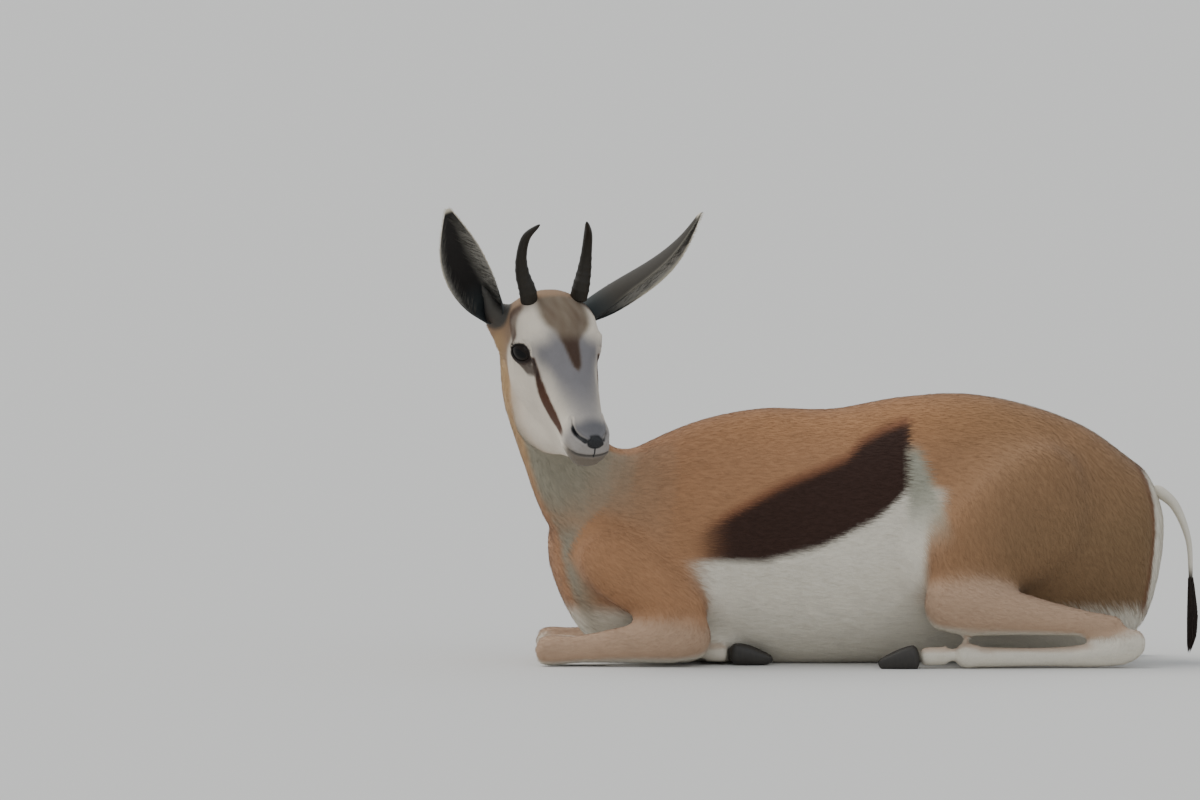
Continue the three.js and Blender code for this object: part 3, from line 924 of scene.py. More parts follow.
# %% [markdown]
# ## Soft folds
# Smoothing moves each point towards the mean of its neighbours. A few rounds that push back by a little
# more than they pull take the voxel steps away and keep the size. Where two bodies meet, many plain
# rounds fill the crease into a fold: a point that would sink is held back. Over the hip, where the
# thigh lies flat on the trunk, still more rounds leave only a soft swelling. Last, what lies on the
# floor is flattened on it.

# %% Take the voxel steps away
FLOOR_CLEARANCE = 0.8
EYE_REACH = 34
EVEN_ROUNDS, HIP_ROUNDS, FOLD_ROUNDS, FACE_ROUNDS = 9, 60, 36, 4
PULL, PUSH_BACK = 0.6, 0.62
fine = (eye_distance(to_head(skin_points)) < EYE_REACH) | within(to_head(skin_points), *MUZZLE_BOX)
for _ in range(EVEN_ROUNDS):
    skin_points += PULL * (skin_mean(skin_points) - skin_points)
    skin_points -= PUSH_BACK * (skin_mean(skin_points) - skin_points)
print("Skin after even rounds, mm:", skin_points.min(0).round(), skin_points.max(0).round())

# %% Find the creases and the hips
is_head = part_names.index("head")
crease = contest * np.where(nearest == is_head, 0.35, 1.0)
pull = skin_mean(skin_points) - skin_points
hollow = ramp(np.sum(pull * normals_of(skin_points, tris_of(skin_mesh)), 1) / VOXEL, 0.015, 0.06)
for _ in range(5):
    hollow = np.clip(1.6 * skin_mean(hollow[:, None])[:, 0], 0, 1)
crease = np.maximum(crease, hollow)
for _ in range(2):
    crease = skin_mean(crease[:, None])[:, 0]
hip = np.zeros(len(skin_points))
for place, key in enumerate(part_names):
    if part_of(key) == "thigh":
        beside = near[place] - near[part_names.index("torso")]
        hip = np.maximum(hip, bell(beside, 0, 0.3))
hip *= ramp(skin_points[:, 2], 90, 125) * ramp(skin_points[:, 0], 360, 320)
print("Points in a crease:", int((crease > 0.5).sum()), "and on a hip:", int((hip > 0.5).sum()))

# %% Round the hips, fill the creases and rest on the floor
for _ in range(HIP_ROUNDS):
    skin_points += (PULL * hip)[:, None] * (skin_mean(skin_points) - skin_points)
for step in range(FOLD_ROUNDS):
    if step % 6 == 0:
        facing = normals_of(skin_points, tris_of(skin_mesh))
    pull = skin_mean(skin_points) - skin_points
    fills = np.sum(pull * facing, 1) > 0
    skin_points += (0.75 * crease * ~fine * np.where(fills, 1.0, 0.15))[:, None] * pull
for _ in range(FACE_ROUNDS):
    skin_points += (0.5 * fine)[:, None] * (skin_mean(skin_points) - skin_points)
skin_points[:, 2] = np.maximum(skin_points[:, 2], FLOOR_CLEARANCE)
print("Skin, mm:", skin_points.min(0).round(), skin_points.max(0).round())

# %% [markdown]
# ## The eyes' openings
# A sculptor would pull the lids out of the skin by hand. Here a formula moves the fine skin, so that
# the lids fit the eyeballs exactly. First come the eye's own axes and the almond shape of its opening:
# two arches over a line from the back corner to the front one. Her left eye, the far one, looks further
# aside and sits a little deeper.

# %% Axes and edges of the eyes
EYE_SIDES = (-1, 1)
EYE_LOOK = {-1: np.array([0.6, -0.72, 0.3]), 1: np.array([0.5, 0.8, 0.28])}
EYE_DEPTH = {-1: 0.0, 1: 4.6}
ALMOND_BACK = (-13.0, -2.0)
ALMOND_FRONT = (12.4, -0.5)
UPPER_ARCH, LOWER_ARCH = 11.0, 8.2
ARCH_ROUND = 0.62


def eye_axes(side):
    """An eye's centre and its axes in the head's frame: front, high and look. 1 is her left, -1 her
    right."""
    look = unit(EYE_LOOK[side])
    centre = EYE_AT * [1, side, 1] - look * EYE_DEPTH[side]
    high = unit(UP - look * look[2])
    front = np.cross(high, look)
    return centre, front * np.sign(front[0]), high, look


def lid_edges(a):
    """The opening's middle, upper and lower edges at a, and how far a is past the nearer corner. Each
    edge is the middle plus or minus its arch times a sine, to a power that rounds it."""
    long = ALMOND_FRONT[0] - ALMOND_BACK[0]
    u = (a - ALMOND_BACK[0]) / long
    middle = ALMOND_BACK[1] + u * (ALMOND_FRONT[1] - ALMOND_BACK[1])
    arch = np.sin(np.pi * np.clip(u, 0, 1)) ** ARCH_ROUND
    past = np.maximum(0, np.maximum(-u, u - 1)) * long
    return middle, middle + UPPER_ARCH * arch, middle - LOWER_ARCH * arch, past


def lid_margin(a, b):
    """How far inside the opening a point is, below 0 outside, and whether it is above the middle line."""
    middle, upper, lower, past = lid_edges(a)
    return np.minimum(upper - b, b - lower) - past, b > middle


print("Eye opening, mm:", ALMOND_FRONT[0] - ALMOND_BACK[0], "by", UPPER_ARCH + LOWER_ARCH)

# %% [markdown]
# ## Lids
# Round each eye, the skin is drawn to a dome a lid's thickness over the eyeball, and inside the opening
# it dips behind the ball, so that the ball shows. A thin swelling runs along each lid's edge and a
# crease over it, and the bone of the brow stands over the eye, a little further over her left one.
# Every one of these is a bell over the distance from the lid's edge.

# %% Shape the lids
BROW_REACH = 40
BALL_HIDES = 3
RIDGE_TOWARD = (0.45, -0.3, 0.85)
RIDGE_LIFT = 2.6
BROW_HOOD = 1.6


def shape_eye(h, side):
    """The head's points with one eye's lids and opening. Each point keeps its way from the eye's
    centre, and its distance becomes the lid's, then the dip's, and then grows by the brow's ridge."""
    centre, front, high, look = eye_axes(side)
    d = h - centre
    reach = np.linalg.norm(d, axis=1)
    margin, upper = lid_margin(d @ front, d @ high)
    facing = ramp(d @ look, 0, 5) * (reach < EYE_REACH)
    lid = EYE_RADIUS + LID_THICK + 0.3 * bell(margin, -1.4, 1.3)
    lid += np.where(upper, 0.5 * bell(margin, -7.2, 1.8) - 0.8 * bell(margin, -4.3, 1.1), 0)
    lid += np.where(upper, 0, 0.4 * bell(margin, -6.2, 1.6) - 0.5 * bell(margin, -3.8, 1.0))
    way = d / np.maximum(reach, 1e-6)[:, None]
    ridge = way @ unit(np.array(RIDGE_TOWARD) * [1, side, 1])
    held = ramp(ridge, 0.2, 0.6) * (side > 0)
    made = reach + ramp(margin, np.where(held > 0.5, -4, -9), -2.5) * facing * (lid - reach)
    made += ramp(margin, -0.4, 0.9) * facing * (EYE_RADIUS - BALL_HIDES - made)
    made += RIDGE_LIFT * bell(margin, -5.5, 3.0) * ramp(ridge, 0.45, 0.9) * (reach < BROW_REACH)
    hood = BROW_HOOD * held * bell(margin, -5.0, 5.0) * (reach < BROW_REACH)
    return centre + d * (made / np.maximum(reach, 1e-6))[:, None] + look * hood[:, None]


head_points = to_head(skin_points)
for eye_side in EYE_SIDES:
    head_points = shape_eye(head_points, eye_side)
print("The lids moved the skin by up to", np.abs(head_points - to_head(skin_points)).max().round(1), "mm")

# %% [markdown]
# ## Nostrils and lips
# A nostril is a groove along a short curve, deepest in its middle, with a soft wing round it. The lips
# meet in another groove along a line over X, with a fold above and below, and a narrow one runs from
# the nose down to the mouth. All of them push the skin in or out along its own normal.

# %% Shape the muzzle
NOSTRIL = [[98, 19.5, 4.5], [106, 21, 3], [113, 20, 1], [121, 15.8, 0], [129, 11, 1.5]]
MOUTH_X = [88, 106, 120, 130, 140]
MOUTH_Z = [-28, -24.5, -19.5, -15.5, -13]
FAR_AWAY = 100.0


def curve_distance(points, rows, steps=60):
    """The distance to a curve through the rows, and how far along it the nearest place is."""
    t = np.linspace(0, 1, steps)
    nodes = smooth(np.array(rows, float), t)
    gaps = np.linalg.norm(points[:, None] - nodes[None], axis=-1)
    return gaps.min(1), t[gaps.argmin(1)]


def muzzle_push(x, y, z, gap, along):
    """How far out each point goes. gap and along are its distance from the nostril's curve and its
    place on it."""
    wide = np.interp(along, [0, 0.3, 0.75, 1], [1.0, 1.6, 2.4, 1.6])
    push = -5.5 * np.sin(np.pi * np.clip(0.15 + 0.8 * along, 0, 1)) * bell(gap, 0, wide)
    push += 1.3 * bell(gap, 5.0, 2.0) * ramp(z, -8, 2)
    lip = z - np.interp(x, MOUTH_X, MOUTH_Z)
    lips = -1.4 * bell(lip, 0, 1.0) + 0.6 * bell(lip, 3.4, 2.2) + 0.7 * bell(lip, -3.6, 2.2)
    push += ramp(x, MOUTH_X[0], MOUTH_X[0] + 6) * lips
    groove = ramp(x, 126, 130) * ramp(lip, 0, 2) * ramp(z, 2, -3)
    return push - 0.7 * groove * bell(y, 0, 0.9)


head_normals = normals_of(from_head(head_points), tris_of(skin_mesh)) @ HEAD_AXES.T
on_muzzle = np.flatnonzero(within(head_points, *MUZZLE_BOX))
muzzle = head_points[on_muzzle] * [1, 0, 1] + np.abs(head_points[on_muzzle] * [0, 1, 0])
nostril_gap, nostril_along = curve_distance(muzzle, NOSTRIL)
nostril_edge = np.interp(nostril_along, [0, 0.3, 0.8, 1], [-0.9, 0.3, 0.3, 0.5])
nostril_near = np.full(len(head_points), FAR_AWAY)
nostril_near[on_muzzle] = nostril_gap - nostril_edge
push = muzzle_push(*muzzle.T, nostril_gap, nostril_along)
head_points[on_muzzle] += head_normals[on_muzzle] * push[:, None]
print("Muzzle pushed from", push.min().round(1), "to", push.max().round(1), "mm")

# %% [markdown]
# ## The finished skin
# The moved points go back into the mesh. The lie of the hair is smoothed over the finished surface, and
# at each round it is laid flat on it again, so that the coat turns from one limb to the next without a
# seam.

# %% Put the shape into the mesh
LIE_ROUNDS = 30
skin_points = from_head(head_points)
skin_mesh.vertices.foreach_set("co", (skin_points * MM).astype(np.float32).ravel())
skin_mesh.polygons.foreach_set("use_smooth", np.ones(len(skin_mesh.polygons), bool))
skin_mesh.update()
skin_tris = tris_of(skin_mesh)
skin_normals = normals_of(skin_points, skin_tris)
for _ in range(LIE_ROUNDS):
    skin_lie = skin_mean(skin_lie)
    skin_lie = unit(skin_lie - skin_normals * np.sum(skin_lie * skin_normals, 1, keepdims=True))
print("Skin:", len(skin_tris), "triangles")

# %% [markdown]
# ## The markings
# Skin and fur carry the same markings, worked out at every point of the skin from where it lies on the
# body, so they are the same from any side. They could be painted by hand on an unwrapped picture, but a
# rule for each mark is exact and needs no seams. A mark is a colour and a mask, a number from 0 to 1 at
# each point, and the marks are laid on one after the other. The colours are given as they look on a
# screen.

# %% Colours of the coat
TAN = linear(163, 121, 87)
TAN_HIGH = linear(162, 118, 80)
# A darker tan for the haunch and rump: painted shade.
TAN_REAR_SHADE = linear(122, 97, 69)
TAN_NECK = linear(182, 150, 108)
TAN_FACE = linear(148, 121, 96)
BAND = linear(52, 32, 24)
BAND_EDGE = linear(112, 68, 46)
WHITE = linear(214, 207, 192)
WHITE_STRIP = linear(154, 152, 136)
# The throat's white darkened to a grey: painted shade under the head.
THROAT_WHITE_SHADED = linear(144, 138, 121)
RUMP_BORDER = linear(112, 74, 48)
FACE_WHITE = linear(214, 203, 187)
# Grey for the face's front and the lips; on the front it is partly painted shade.
FACE_GREY_AND_SHADE = linear(120, 117, 119)
CROWN_BROWN = linear(112, 97, 80)
CROWN_DARK = linear(62, 43, 33)
STREAK_BROWN = linear(90, 66, 50)
TEAR = linear(78, 46, 28)
TEAR_DARK = linear(38, 28, 23)
UNDER_DARK = linear(66, 52, 44)
EYE_DARK = linear(40, 30, 26)
NOSE_GREY = linear(90, 90, 95)
NOSE_DARK = linear(32, 32, 34)
# The chin's darker tone, partly painted shade under the mouth.
CHIN_TONE_AND_SHADE = linear(112, 102, 90)
# Painted shade in the furrow before each eye.
FURROW_SHADE = linear(112, 110, 112)
EAR_BASE = linear(54, 60, 61)


def paint(under, colour, mask):
    """The colour laid over what is under it by the mask."""
    return under + (np.asarray(colour) - under) * np.clip(mask, 0, 1)[:, None]


def marked(colour, *marks):
    """The colour with each mark's own colour laid over it by its mask, one after the other."""
    for tint, mask in marks:
        colour = paint(colour, tint, mask)
    return colour


print("Tan as linear light:", TAN.round(3))

# %% [markdown]
# ## Trunk, legs and neck
# The coat is cinnamon above and white below, with a broad dark band between. The band's upper and lower
# edges are two lines over X. A pale strip runs up behind the band, and the rump has a white patch in a
# dark border. The legs are white within and behind. The throat's white starts at the chest and turns
# with the neck; it is laid on as a grey, which is painted shade under the head. The two numbers of a ramp
# are the places, in mm, where a mark starts and where it is full.

# %% Marks of the trunk
BAND_X = [-70, 0, 25, 67, 95, 110, 134, 151, 163]
BAND_TOP = [150, 188, 202, 219, 231, 248, 261, 268, 271]
BAND_LOW_X = [-70, 0, 67, 125, 145, 163]
BAND_LOW = [120, 118, 136, 165, 181, 200]


def body_colour(p, normal, at):
    """The trunk: tan, darker behind and lower down, which is painted shade, then the dark band, the white
    belly and strip, and the rump's patch. The rump's edge is a curve: X = 424 plus a small share of the
    square of Y."""
    x, y, z = p.T
    trunk = at("torso") + at("thigh") * ramp(x, 190, 175)
    # Painted shade: darker towards the tail and lower down, less on top.
    rear = np.interp(x, [150, 280, 440], [0, 0.8, 1]) * np.interp(z, [150, 260], [1, 0.6])
    top = np.interp(x, BAND_X, BAND_TOP)
    low = np.interp(x, BAND_LOW_X, BAND_LOW)
    banded = trunk * (ramp(x, -84, -30) * ramp(x, 167, 161))
    belly = trunk * ramp(z, low + 4, low - 7) * ramp(x, -95, -50) * ramp(x, 215, 190)
    strip_end = np.interp(z, [150, 250], [212, 172])
    strip = ramp(x, 159, 166) * ramp(x, strip_end + 7, strip_end - 7)
    strip = strip * ramp(z, 254, 232) * ramp(z, 130, 200)
    rump = x - (424 + 0.012 * y**2)
    back_line = ramp(x, 250, 300) * ramp(x, 440, 420)
    back_line = back_line * ramp(np.abs(y), 7, 3) * ramp(normal[:, 2], 0.5, 0.8)
    return marked(
        np.tile(TAN, (len(p), 1)),
        (TAN_HIGH, ramp(z, 225, 285)),
        (TAN_REAR_SHADE, rear),
        (BAND_EDGE, 0.85 * banded * ramp(z, top + 13, top - 1)),
        (BAND, banded * ramp(z, top + 3, top - 8)),
        (WHITE, np.maximum(belly, trunk * ramp(z, 74, 50))),
        (WHITE_STRIP, (at("torso") + at("thigh")) * strip),
        (RUMP_BORDER, 0.8 * ramp(rump, -14, -5) * ramp(z, 50, 66) * ramp(z, 232, 218)),
        (WHITE, ramp(rump, -2, 3) * ramp(z, 58, 70) * ramp(z, 222, 212)),
        (WHITE, 0.55 * back_line),
    )


print("The band runs from X", BAND_X[0], "to", BAND_X[-1], "mm")

# %% Marks of the legs and the neck
THROAT_T = [0, 0.12, 0.3, 0.6, 1]
THROAT_WAY = np.array([[-0.9, -0.45], [-0.15, -1], [0.15, -1], [0.28, -0.95], [0.45, -0.9]])
THROAT_FROM, THROAT_FULL = 60, 44


def leg_colour(p, normal, at, colour):
    """The legs: tan on the outer faces and along the front of the cannons, white within and behind."""
    y = p[:, 1]
    outer = np.where(y < 0, -normal[:, 1], normal[:, 1])
    upper = at("upper_arm") + at("thigh")
    lower = at("forearm") + at("shank")
    cannon = at("cannon") + at("pastern")
    return marked(
        colour,
        (WHITE, upper * ramp(outer, 0.1, -0.45) * ramp(np.abs(y), 90, 60)),
        (0.25 * WHITE + 0.75 * TAN, lower),
        (WHITE, lower * ramp(outer + normal[:, 2], 0.25, -0.5)),
        (WHITE, cannon),
        (0.5 * (WHITE + TAN), cannon * ramp(normal[:, 2], 0.25, 0.7)),
    )


def neck_colour(p, at, colour):
    """The neck: tan, and a pale grey within an angle of the throat's way, which turns from the chest to
    the head. The grey is the throat's white with painted shade."""
    t = np.linspace(0, 1, 40)
    centre = smooth(np.array(NECK, float)[:, :3], t)
    gap = np.linalg.norm(p[:, None] - centre[None], axis=-1)
    place = gap.argmin(1)
    away = unit((p - centre[place])[:, :2])
    throat = np.stack([np.interp(t[place], THROAT_T, THROAT_WAY[:, k]) for k in range(2)], 1)
    spread = np.degrees(np.arccos(np.clip(np.sum(away * unit(throat), 1), -1, 1)))
    neck = at("neck")
    chest = at("torso") * ramp(p[:, 0], -170, -215)
    return marked(
        colour,
        (TAN_NECK, neck * ramp(t[place], 0.25, 0.6)),
        # Painted shade: the throat's white laid on as a grey.
        (THROAT_WHITE_SHADED, ramp(spread, THROAT_FROM, THROAT_FULL) * np.maximum(neck, chest)),
    )


print("The throat is palest within", THROAT_FULL, "degrees of its way")

# %% [markdown]
# ## The face
# The face is white with a grey bridge; where the skin faces out of the forehead, the grey is partly
# painted shade. A dark stripe runs from each eye to the lip, narrow at the eye and wide in the middle.
# Between the horns lies a brown patch that runs down to a dark point, and a brown streak goes from the
# back of each eye up to the ear. The marks are worked out in the head's frame, alike on both sides.

# %% The face's ground and the crown
TEMPLE_STREAK = [[-22, 50, 2], [-34, 48, 8], [-48, 46, 18], [-62, 41, 28]]
CHEEK_Z = [-110, -99, -84, -79, -57, -29, -8]
CHEEK_X = [34, 19, 0, -20, -34, -38, -34]
CROWN_X = [-55, -40, -30, -19, -10, -3, 5, 11, 28, 38, 45]
CROWN_HALF = [29, 30, 30, 27, 21, 15.5, 11.0, 9.0, 6.5, 4.5, 0.5]
BLAZE_ASIDE, CROWN_ASIDE = 2.0, 7.0


def face_ground(h, front):
    """The grey bridge, which is partly painted shade on the face's front, the tan cheek behind a line from
    jaw to ear, the white brow and the temple's streak."""
    x, y, z = h.T
    side = np.abs(y)
    behind = np.interp(z, CHEEK_Z, CHEEK_X) - x
    streak, _ = curve_distance(np.stack([x, side, z], 1), TEMPLE_STREAK, 30)
    streak_ends = np.maximum(bell(x, -25, 9), bell(x, -56, 9))
    return [
        # Partly painted shade: grey where the face's front turns from the light.
        (FACE_GREY_AND_SHADE, front * ramp(x, -34, 12)),
        (TAN_FACE, ramp(behind, -4, 5) * ramp(z, 30, 14)),
        (TAN_NECK, ramp(behind, 0, 24) * ramp(z, -6, -34)),
        (FACE_WHITE, ramp(side, 14, 30) * ramp(z, 6, 14) * ramp(x, -52, -44) * ramp(x, 16, -16)),
        (STREAK_BROWN, 0.95 * ramp(streak, 13, 5.5) * (0.75 + 0.25 * streak_ends)),
    ]


def crown_marks(h):
    """The patch between the horns: as wide at each X as its table says, with a faint mottle of
    crossed sines."""
    x, y, z = h.T
    half = np.interp(x, CROWN_X, CROWN_HALF)
    across = y - np.interp(x, [-40, -10, 5], [CROWN_ASIDE, CROWN_ASIDE, BLAZE_ASIDE])
    soft = np.interp(x, [-10, 10], [6.0, 2.5])
    crown = ramp(np.abs(across), half + soft, half - soft) * ramp(z, 8, 18) * ramp(x, 48, 38)
    mottle = np.sin(0.42 * y + 1.7 * np.sin(0.09 * x) + 0.8) * np.sin(0.1 * x + 0.9 * np.sin(0.23 * y))
    dark_streaks = 0.5 * bell(y, 20, 5) * bell(x, -28, 13) + 0.3 * bell(y, -9, 5) * bell(x, -32, 13)
    return [
        (CROWN_BROWN, crown * (0.96 + 0.04 * mottle)),
        (STREAK_BROWN, crown * np.clip(dark_streaks + 0.04 * mottle, 0, 1)),
        (CROWN_DARK, crown * ramp(x, -8, 12) * 0.95),
        (CROWN_DARK, 0.5 * bell(x, -52, 9) * bell(np.abs(y), 38, 10) * ramp(z, 0, 14)),
        (TAN_FACE, ramp(x, -54, -62)),
    ]


print("The crown's patch is up to", 2 * max(CROWN_HALF), "mm wide")

# %% The stripes, and the rims of eyes and ears
TEAR_LINE = [
    [12, 39, 9],
    [22, 36.5, 3],
    [32, 35, -3],
    [53, 32, -12],
    [73, 28, -16],
    [94, 25, -17],
    [107, 25, -16],
]
TEAR_HALF = [3.0, 3.4, 4.6, 8.0, 8.0, 4.6, 2.0]
UNDER_EYE = [[-4, 52, -8], [4, 47, -9], [12, 42, -6], [19, 38.5, 0]]


def tear_marks(h):
    """The stripe from the eye to the lip, darkest at its upper end, and the shadow under the eye."""
    x, y, z = h.T
    mirrored_points = np.stack([x, np.abs(y), z], 1)
    gap, along = curve_distance(mirrored_points, TEAR_LINE, 40)
    width = np.interp(along, np.linspace(0, 1, len(TEAR_HALF)), TEAR_HALF)
    tear = ramp(gap, width + 1.8, width - 1.4) * ramp(x, 5, 10) * ramp(along, 1, 0.82)
    shade, _ = curve_distance(mirrored_points, UNDER_EYE, 30)
    return [
        (TEAR, tear),
        (TEAR_DARK, tear * ramp(along, 0.5, 0.15) * ramp(gap, width, width - 2.5)),
        (UNDER_DARK, 0.9 * ramp(shade, 8, 4.5)),
    ]


def eye_marks(h):
    """Round each eye: the front corner, the shade below, and the lids' bare edge. Beside them, a grey
    patch of painted shade in the furrow before the eye."""
    marks = []
    for eye_side in EYE_SIDES:
        centre, front, high, look = eye_axes(eye_side)
        d = h - centre
        margin, _ = lid_margin(d @ front, d @ high)
        near_eye = ramp(np.linalg.norm(d, axis=1), 30, 22) * ramp(d @ look, 0, 5)
        corner = np.linalg.norm(d - 15.0 * front + 2.5 * high - 11.0 * look, axis=1)
        below = ramp(d @ high - 0.5 * (d @ front), 0, -5)
        marks += [
            (TEAR_DARK, 0.9 * ramp(corner, 8.5, 5.0)),
            (UNDER_DARK, 0.9 * ramp(margin, -9, -5) * below * near_eye),
            (EYE_DARK, ramp(margin + 1.5 * below, -2.6, -1.2) * near_eye),
        ]
    x, y, z = h.T
    # Painted shade: a grey patch in the furrow before each eye.
    return marks + [(FURROW_SHADE, 0.5 * bell(x, 14, 13) * bell(np.abs(y), 30, 6) * ramp(z, 6, 14))]


def ear_base_marks(h):
    """Slate round the stub of each ear, from the root up to the stub's point."""
    marks = []
    for side_name in SIDES:
        root, _, up, out, _ = ear_frame(side_name)
        rise = np.clip((h - root) @ up, 12, 60)[:, None] * up
        from_stub = np.linalg.norm(h - root - out * 7 - rise, axis=1)
        marks.append((EAR_BASE, 0.9 * ramp(from_stub, 26, 19)))
    return marks


print("The tear stripe is up to", 2 * max(TEAR_HALF), "mm wide")

# %% The muzzle, and all the marks of the head
FAR_NOSTRIL = 1.1


def nose_pad_share(side, z):
    """0 in the middle of the bare nose, 1 at its rim: an oval between the nostrils, and a strip to
    the lip."""
    oval = np.hypot(side / 8.4, (z - 1.2) / 4.6)
    strip = np.maximum(side / 0.7, np.abs(z + 7) / 7)
    return np.minimum(oval, strip)


def muzzle_marks(h):
    """The muzzle: a grey top, grey lips, a darker chin that is partly painted shade under the mouth, and
    the dark nose, nostrils and line of the mouth."""
    x, y, z = h.T
    pad = ramp(x, 122, 127) * ramp(nose_pad_share(np.abs(y), z), 1.35, 1.05)
    slit = ramp(nostril_near + FAR_NOSTRIL * (y > 0), 3.0, 1.4) * ramp(x, 94, 99)
    lip = np.abs(z - np.interp(x, MOUTH_X, MOUTH_Z))
    return [
        (NOSE_GREY, ramp(x, 98, 114) * ramp(z, -2, 6) * 0.9),
        (FACE_GREY_AND_SHADE, 0.75 * ramp(x, 92, 116) * ramp(z, -28, -12) * ramp(z, 8, -2)),
        # Partly painted shade: the chin darker below the mouth.
        (CHIN_TONE_AND_SHADE, ramp(x, 104, 126) * ramp(z, -8, -20)),
        (NOSE_DARK, np.maximum(pad, slit)),
        (NOSE_DARK, 0.6 * (ramp(lip, 3.2, 0.8) * ramp(x, 112, 132))),
    ]


def head_colour(h, normal):
    """The face's marks laid on white, from the widest to the smallest."""
    # front: where the skin faces out of the forehead; its grey is partly painted shade.
    front = ramp(h[:, 2], -8, 20) * ramp(normal[:, 2], -0.1, 0.8)
    marks = face_ground(h, front) + crown_marks(h) + tear_marks(h) + eye_marks(h)
    marks += ear_base_marks(h) + muzzle_marks(h)
    return marked(np.tile(FACE_WHITE, (len(h), 1)), *marks)


print("The mouth's line runs from X", MOUTH_X[0], "to", MOUTH_X[-1], "mm")

# %% [markdown]
# ## Colour the skin
# Body, legs, neck and face each have their rule. The shares of the nearest bodies, worked out before,
# blend them, so no edge shows where the head meets the neck.

# %% Colour at every point of the skin
def coat_colour(points, normals, parts):
    """The colour at each point. at(name) is the share that the parts of that name have there."""
    at = lambda name: sum(value for key, value in parts.items() if name in key) + np.zeros(len(points))
    colour = body_colour(points, normals, at)
    colour = leg_colour(points, normals, at, colour)
    colour = neck_colour(points, at, colour)
    h = to_head(points)
    on_head = at("head") + at("neck") * ramp(h[:, 2], -62, -40) * ramp(h[:, 0], -70, -40)
    face = head_colour(h, normals @ HEAD_AXES.T)
    return colour + (face - colour) * np.clip(on_head, 0, 1)[:, None]


skin_colours = coat_colour(skin_points, skin_normals, dict(zip(part_names, part_share)))
set_colours(skin_mesh, skin_colours)
print("Mean coat colour:", skin_colours.mean(0).round(3))

# %% [markdown]
# ## The skin's finish
# Under the tufts the skin already carries most of the coat: the markings, a fine mottle, and a short
# nap made by a bump. The sheen stands for the down between the hairs.

# %% Coat material and the skin
SHEEN = 0.1


def coat_material(name, nap_mm=0.35):
    """The markings times fine noise, with two scales of bump: the nap, and slow dents between tufts."""
    book = Book(name, Sheen_Weight=SHEEN, Sheen_Roughness=0.45, Specular_IOR_Level=0.25)
    markings = book.node("ShaderNodeAttribute", {"attribute_name": "Coat"})
    fine, broad = book.noise(900, 5, 0.7), book.noise(38, 4, 0.6)
    tone = fine * 0.34 + broad * 0.22 + 0.72
    shade = book.node("ShaderNodeCombineColor", {}, {"Red": tone, "Green": tone, "Blue": tone})
    colour = book.mix(1.0, markings, shade, "MULTIPLY")
    slow = book.bump(book.noise(110, 3), 1.0, 0.35)
    rough = book.noise(300, 3) * 0.16 + 0.68
    return book.shade(Base_Color=colour, Roughness=rough, Normal=book.bump(fine, nap_mm, 0.8, after=slow))


skin_nodes = [key for key in flesh if key != "tail"] + ["head"]
coat = coat_material("coat")
add_piece("skin", skin_mesh, coat, skin_nodes)

# %% [markdown]
# ## Eyes
# An antelope's eye is large, dark and wet. It is a ball with a bulge over the iris, and its pupil is a
# wide bar. The colour is an attribute worked out on the ball's own grid: the iris is very dark brown,
# the rim round it nearly black. Wetness is a thin, sharp clear coat, kept weak so that the eye stays
# dark under a bright sky. A thin edge of dark skin closes each lid on the ball, and lashes stand on the
# upper lid.

# %% Eyeballs
CORNEA_LIFT = 1.5
IRIS_RADIUS = 11.5


def eye_grid(side, around=64, along=48):
    """A ball round its look: the angle from the look, the angle round it, and a bulge in front."""
    centre, front, high, look = eye_axes(side)
    down = np.linspace(0, np.pi, along + 1)[:, None]
    turn = (np.arange(around) * 2 * np.pi / around)[None]
    reach = EYE_RADIUS + CORNEA_LIFT * np.exp(-((down / 0.62) ** 2)) + 0 * turn
    ahead, above = np.sin(down) * np.cos(turn), np.sin(down) * np.sin(turn)
    across = ahead[..., None] * front + above[..., None] * high
    return centre + reach[..., None] * (across + (np.cos(down) + 0 * turn)[..., None] * look)


def eye_colours(points, side):
    """Nearly black all over, dark brown on the iris with faint rays, and black in the pupil's bar."""
    centre, front, high, look = eye_axes(side)
    d = points - centre
    a, b = d @ front, d @ high
    out = np.hypot(a, b)
    colour = np.tile(linear(14, 11, 10), (len(points), 1))
    iris = ramp(out, IRIS_RADIUS, IRIS_RADIUS - 2) * (d @ look > 0)
    colour = paint(colour, linear(30, 21, 15), iris * (0.7 + 0.3 * np.cos(18 * np.arctan2(b, a))))
    pupil = ramp(np.hypot(a / 7.6, b / 4.4), 1.1, 0.85) * (d @ look > 0)
    return paint(colour, linear(5, 5, 6), pupil)


eye_book = Book("eye_wet", Coat_Weight=0.12, Coat_Roughness=0.03, Specular_IOR_Level=0.12)
eye_tone = eye_book.node("ShaderNodeAttribute", {"attribute_name": "Coat"})
eye_rough = eye_book.noise(60, 2) * 0.04 + 0.06
eye_material = eye_book.shade(Base_Color=eye_tone, Roughness=eye_rough)
for side_name, side in SIDES.items():
    verts, tris = closed_grid(eye_grid(-side))
    mesh = build_mesh(f"eyeball_{side_name}", from_head(verts), tris)
    set_colours(mesh, eye_colours(verts, -side))
    add_piece(f"eyeball_{side_name}", mesh, eye_material, [f"eye_{side_name}"])

# %% Lid edges
LID_TUBE, LID_OVER_BALL = 0.5, 1.25


def lid_ring(side, steps=72):
    """The opening's edge laid on a ball just over the eye, over the top and back below."""
    centre, front, high, look = eye_axes(side)
    share = 0.5 - 0.5 * np.cos(np.linspace(0, np.pi, steps // 2 + 1))
    a = ALMOND_BACK[0] + share * (ALMOND_FRONT[0] - ALMOND_BACK[0])
    _, upper, lower, _ = lid_edges(a)
    a = np.concatenate([a[:-1], a[:0:-1]])
    b = np.concatenate([upper[:-1], lower[:0:-1]])
    radius = EYE_RADIUS + LID_OVER_BALL
    c = np.sqrt(np.maximum(radius**2 - a**2 - b**2, 0))
    return centre + a[:, None] * front + b[:, None] * high + c[:, None] * look


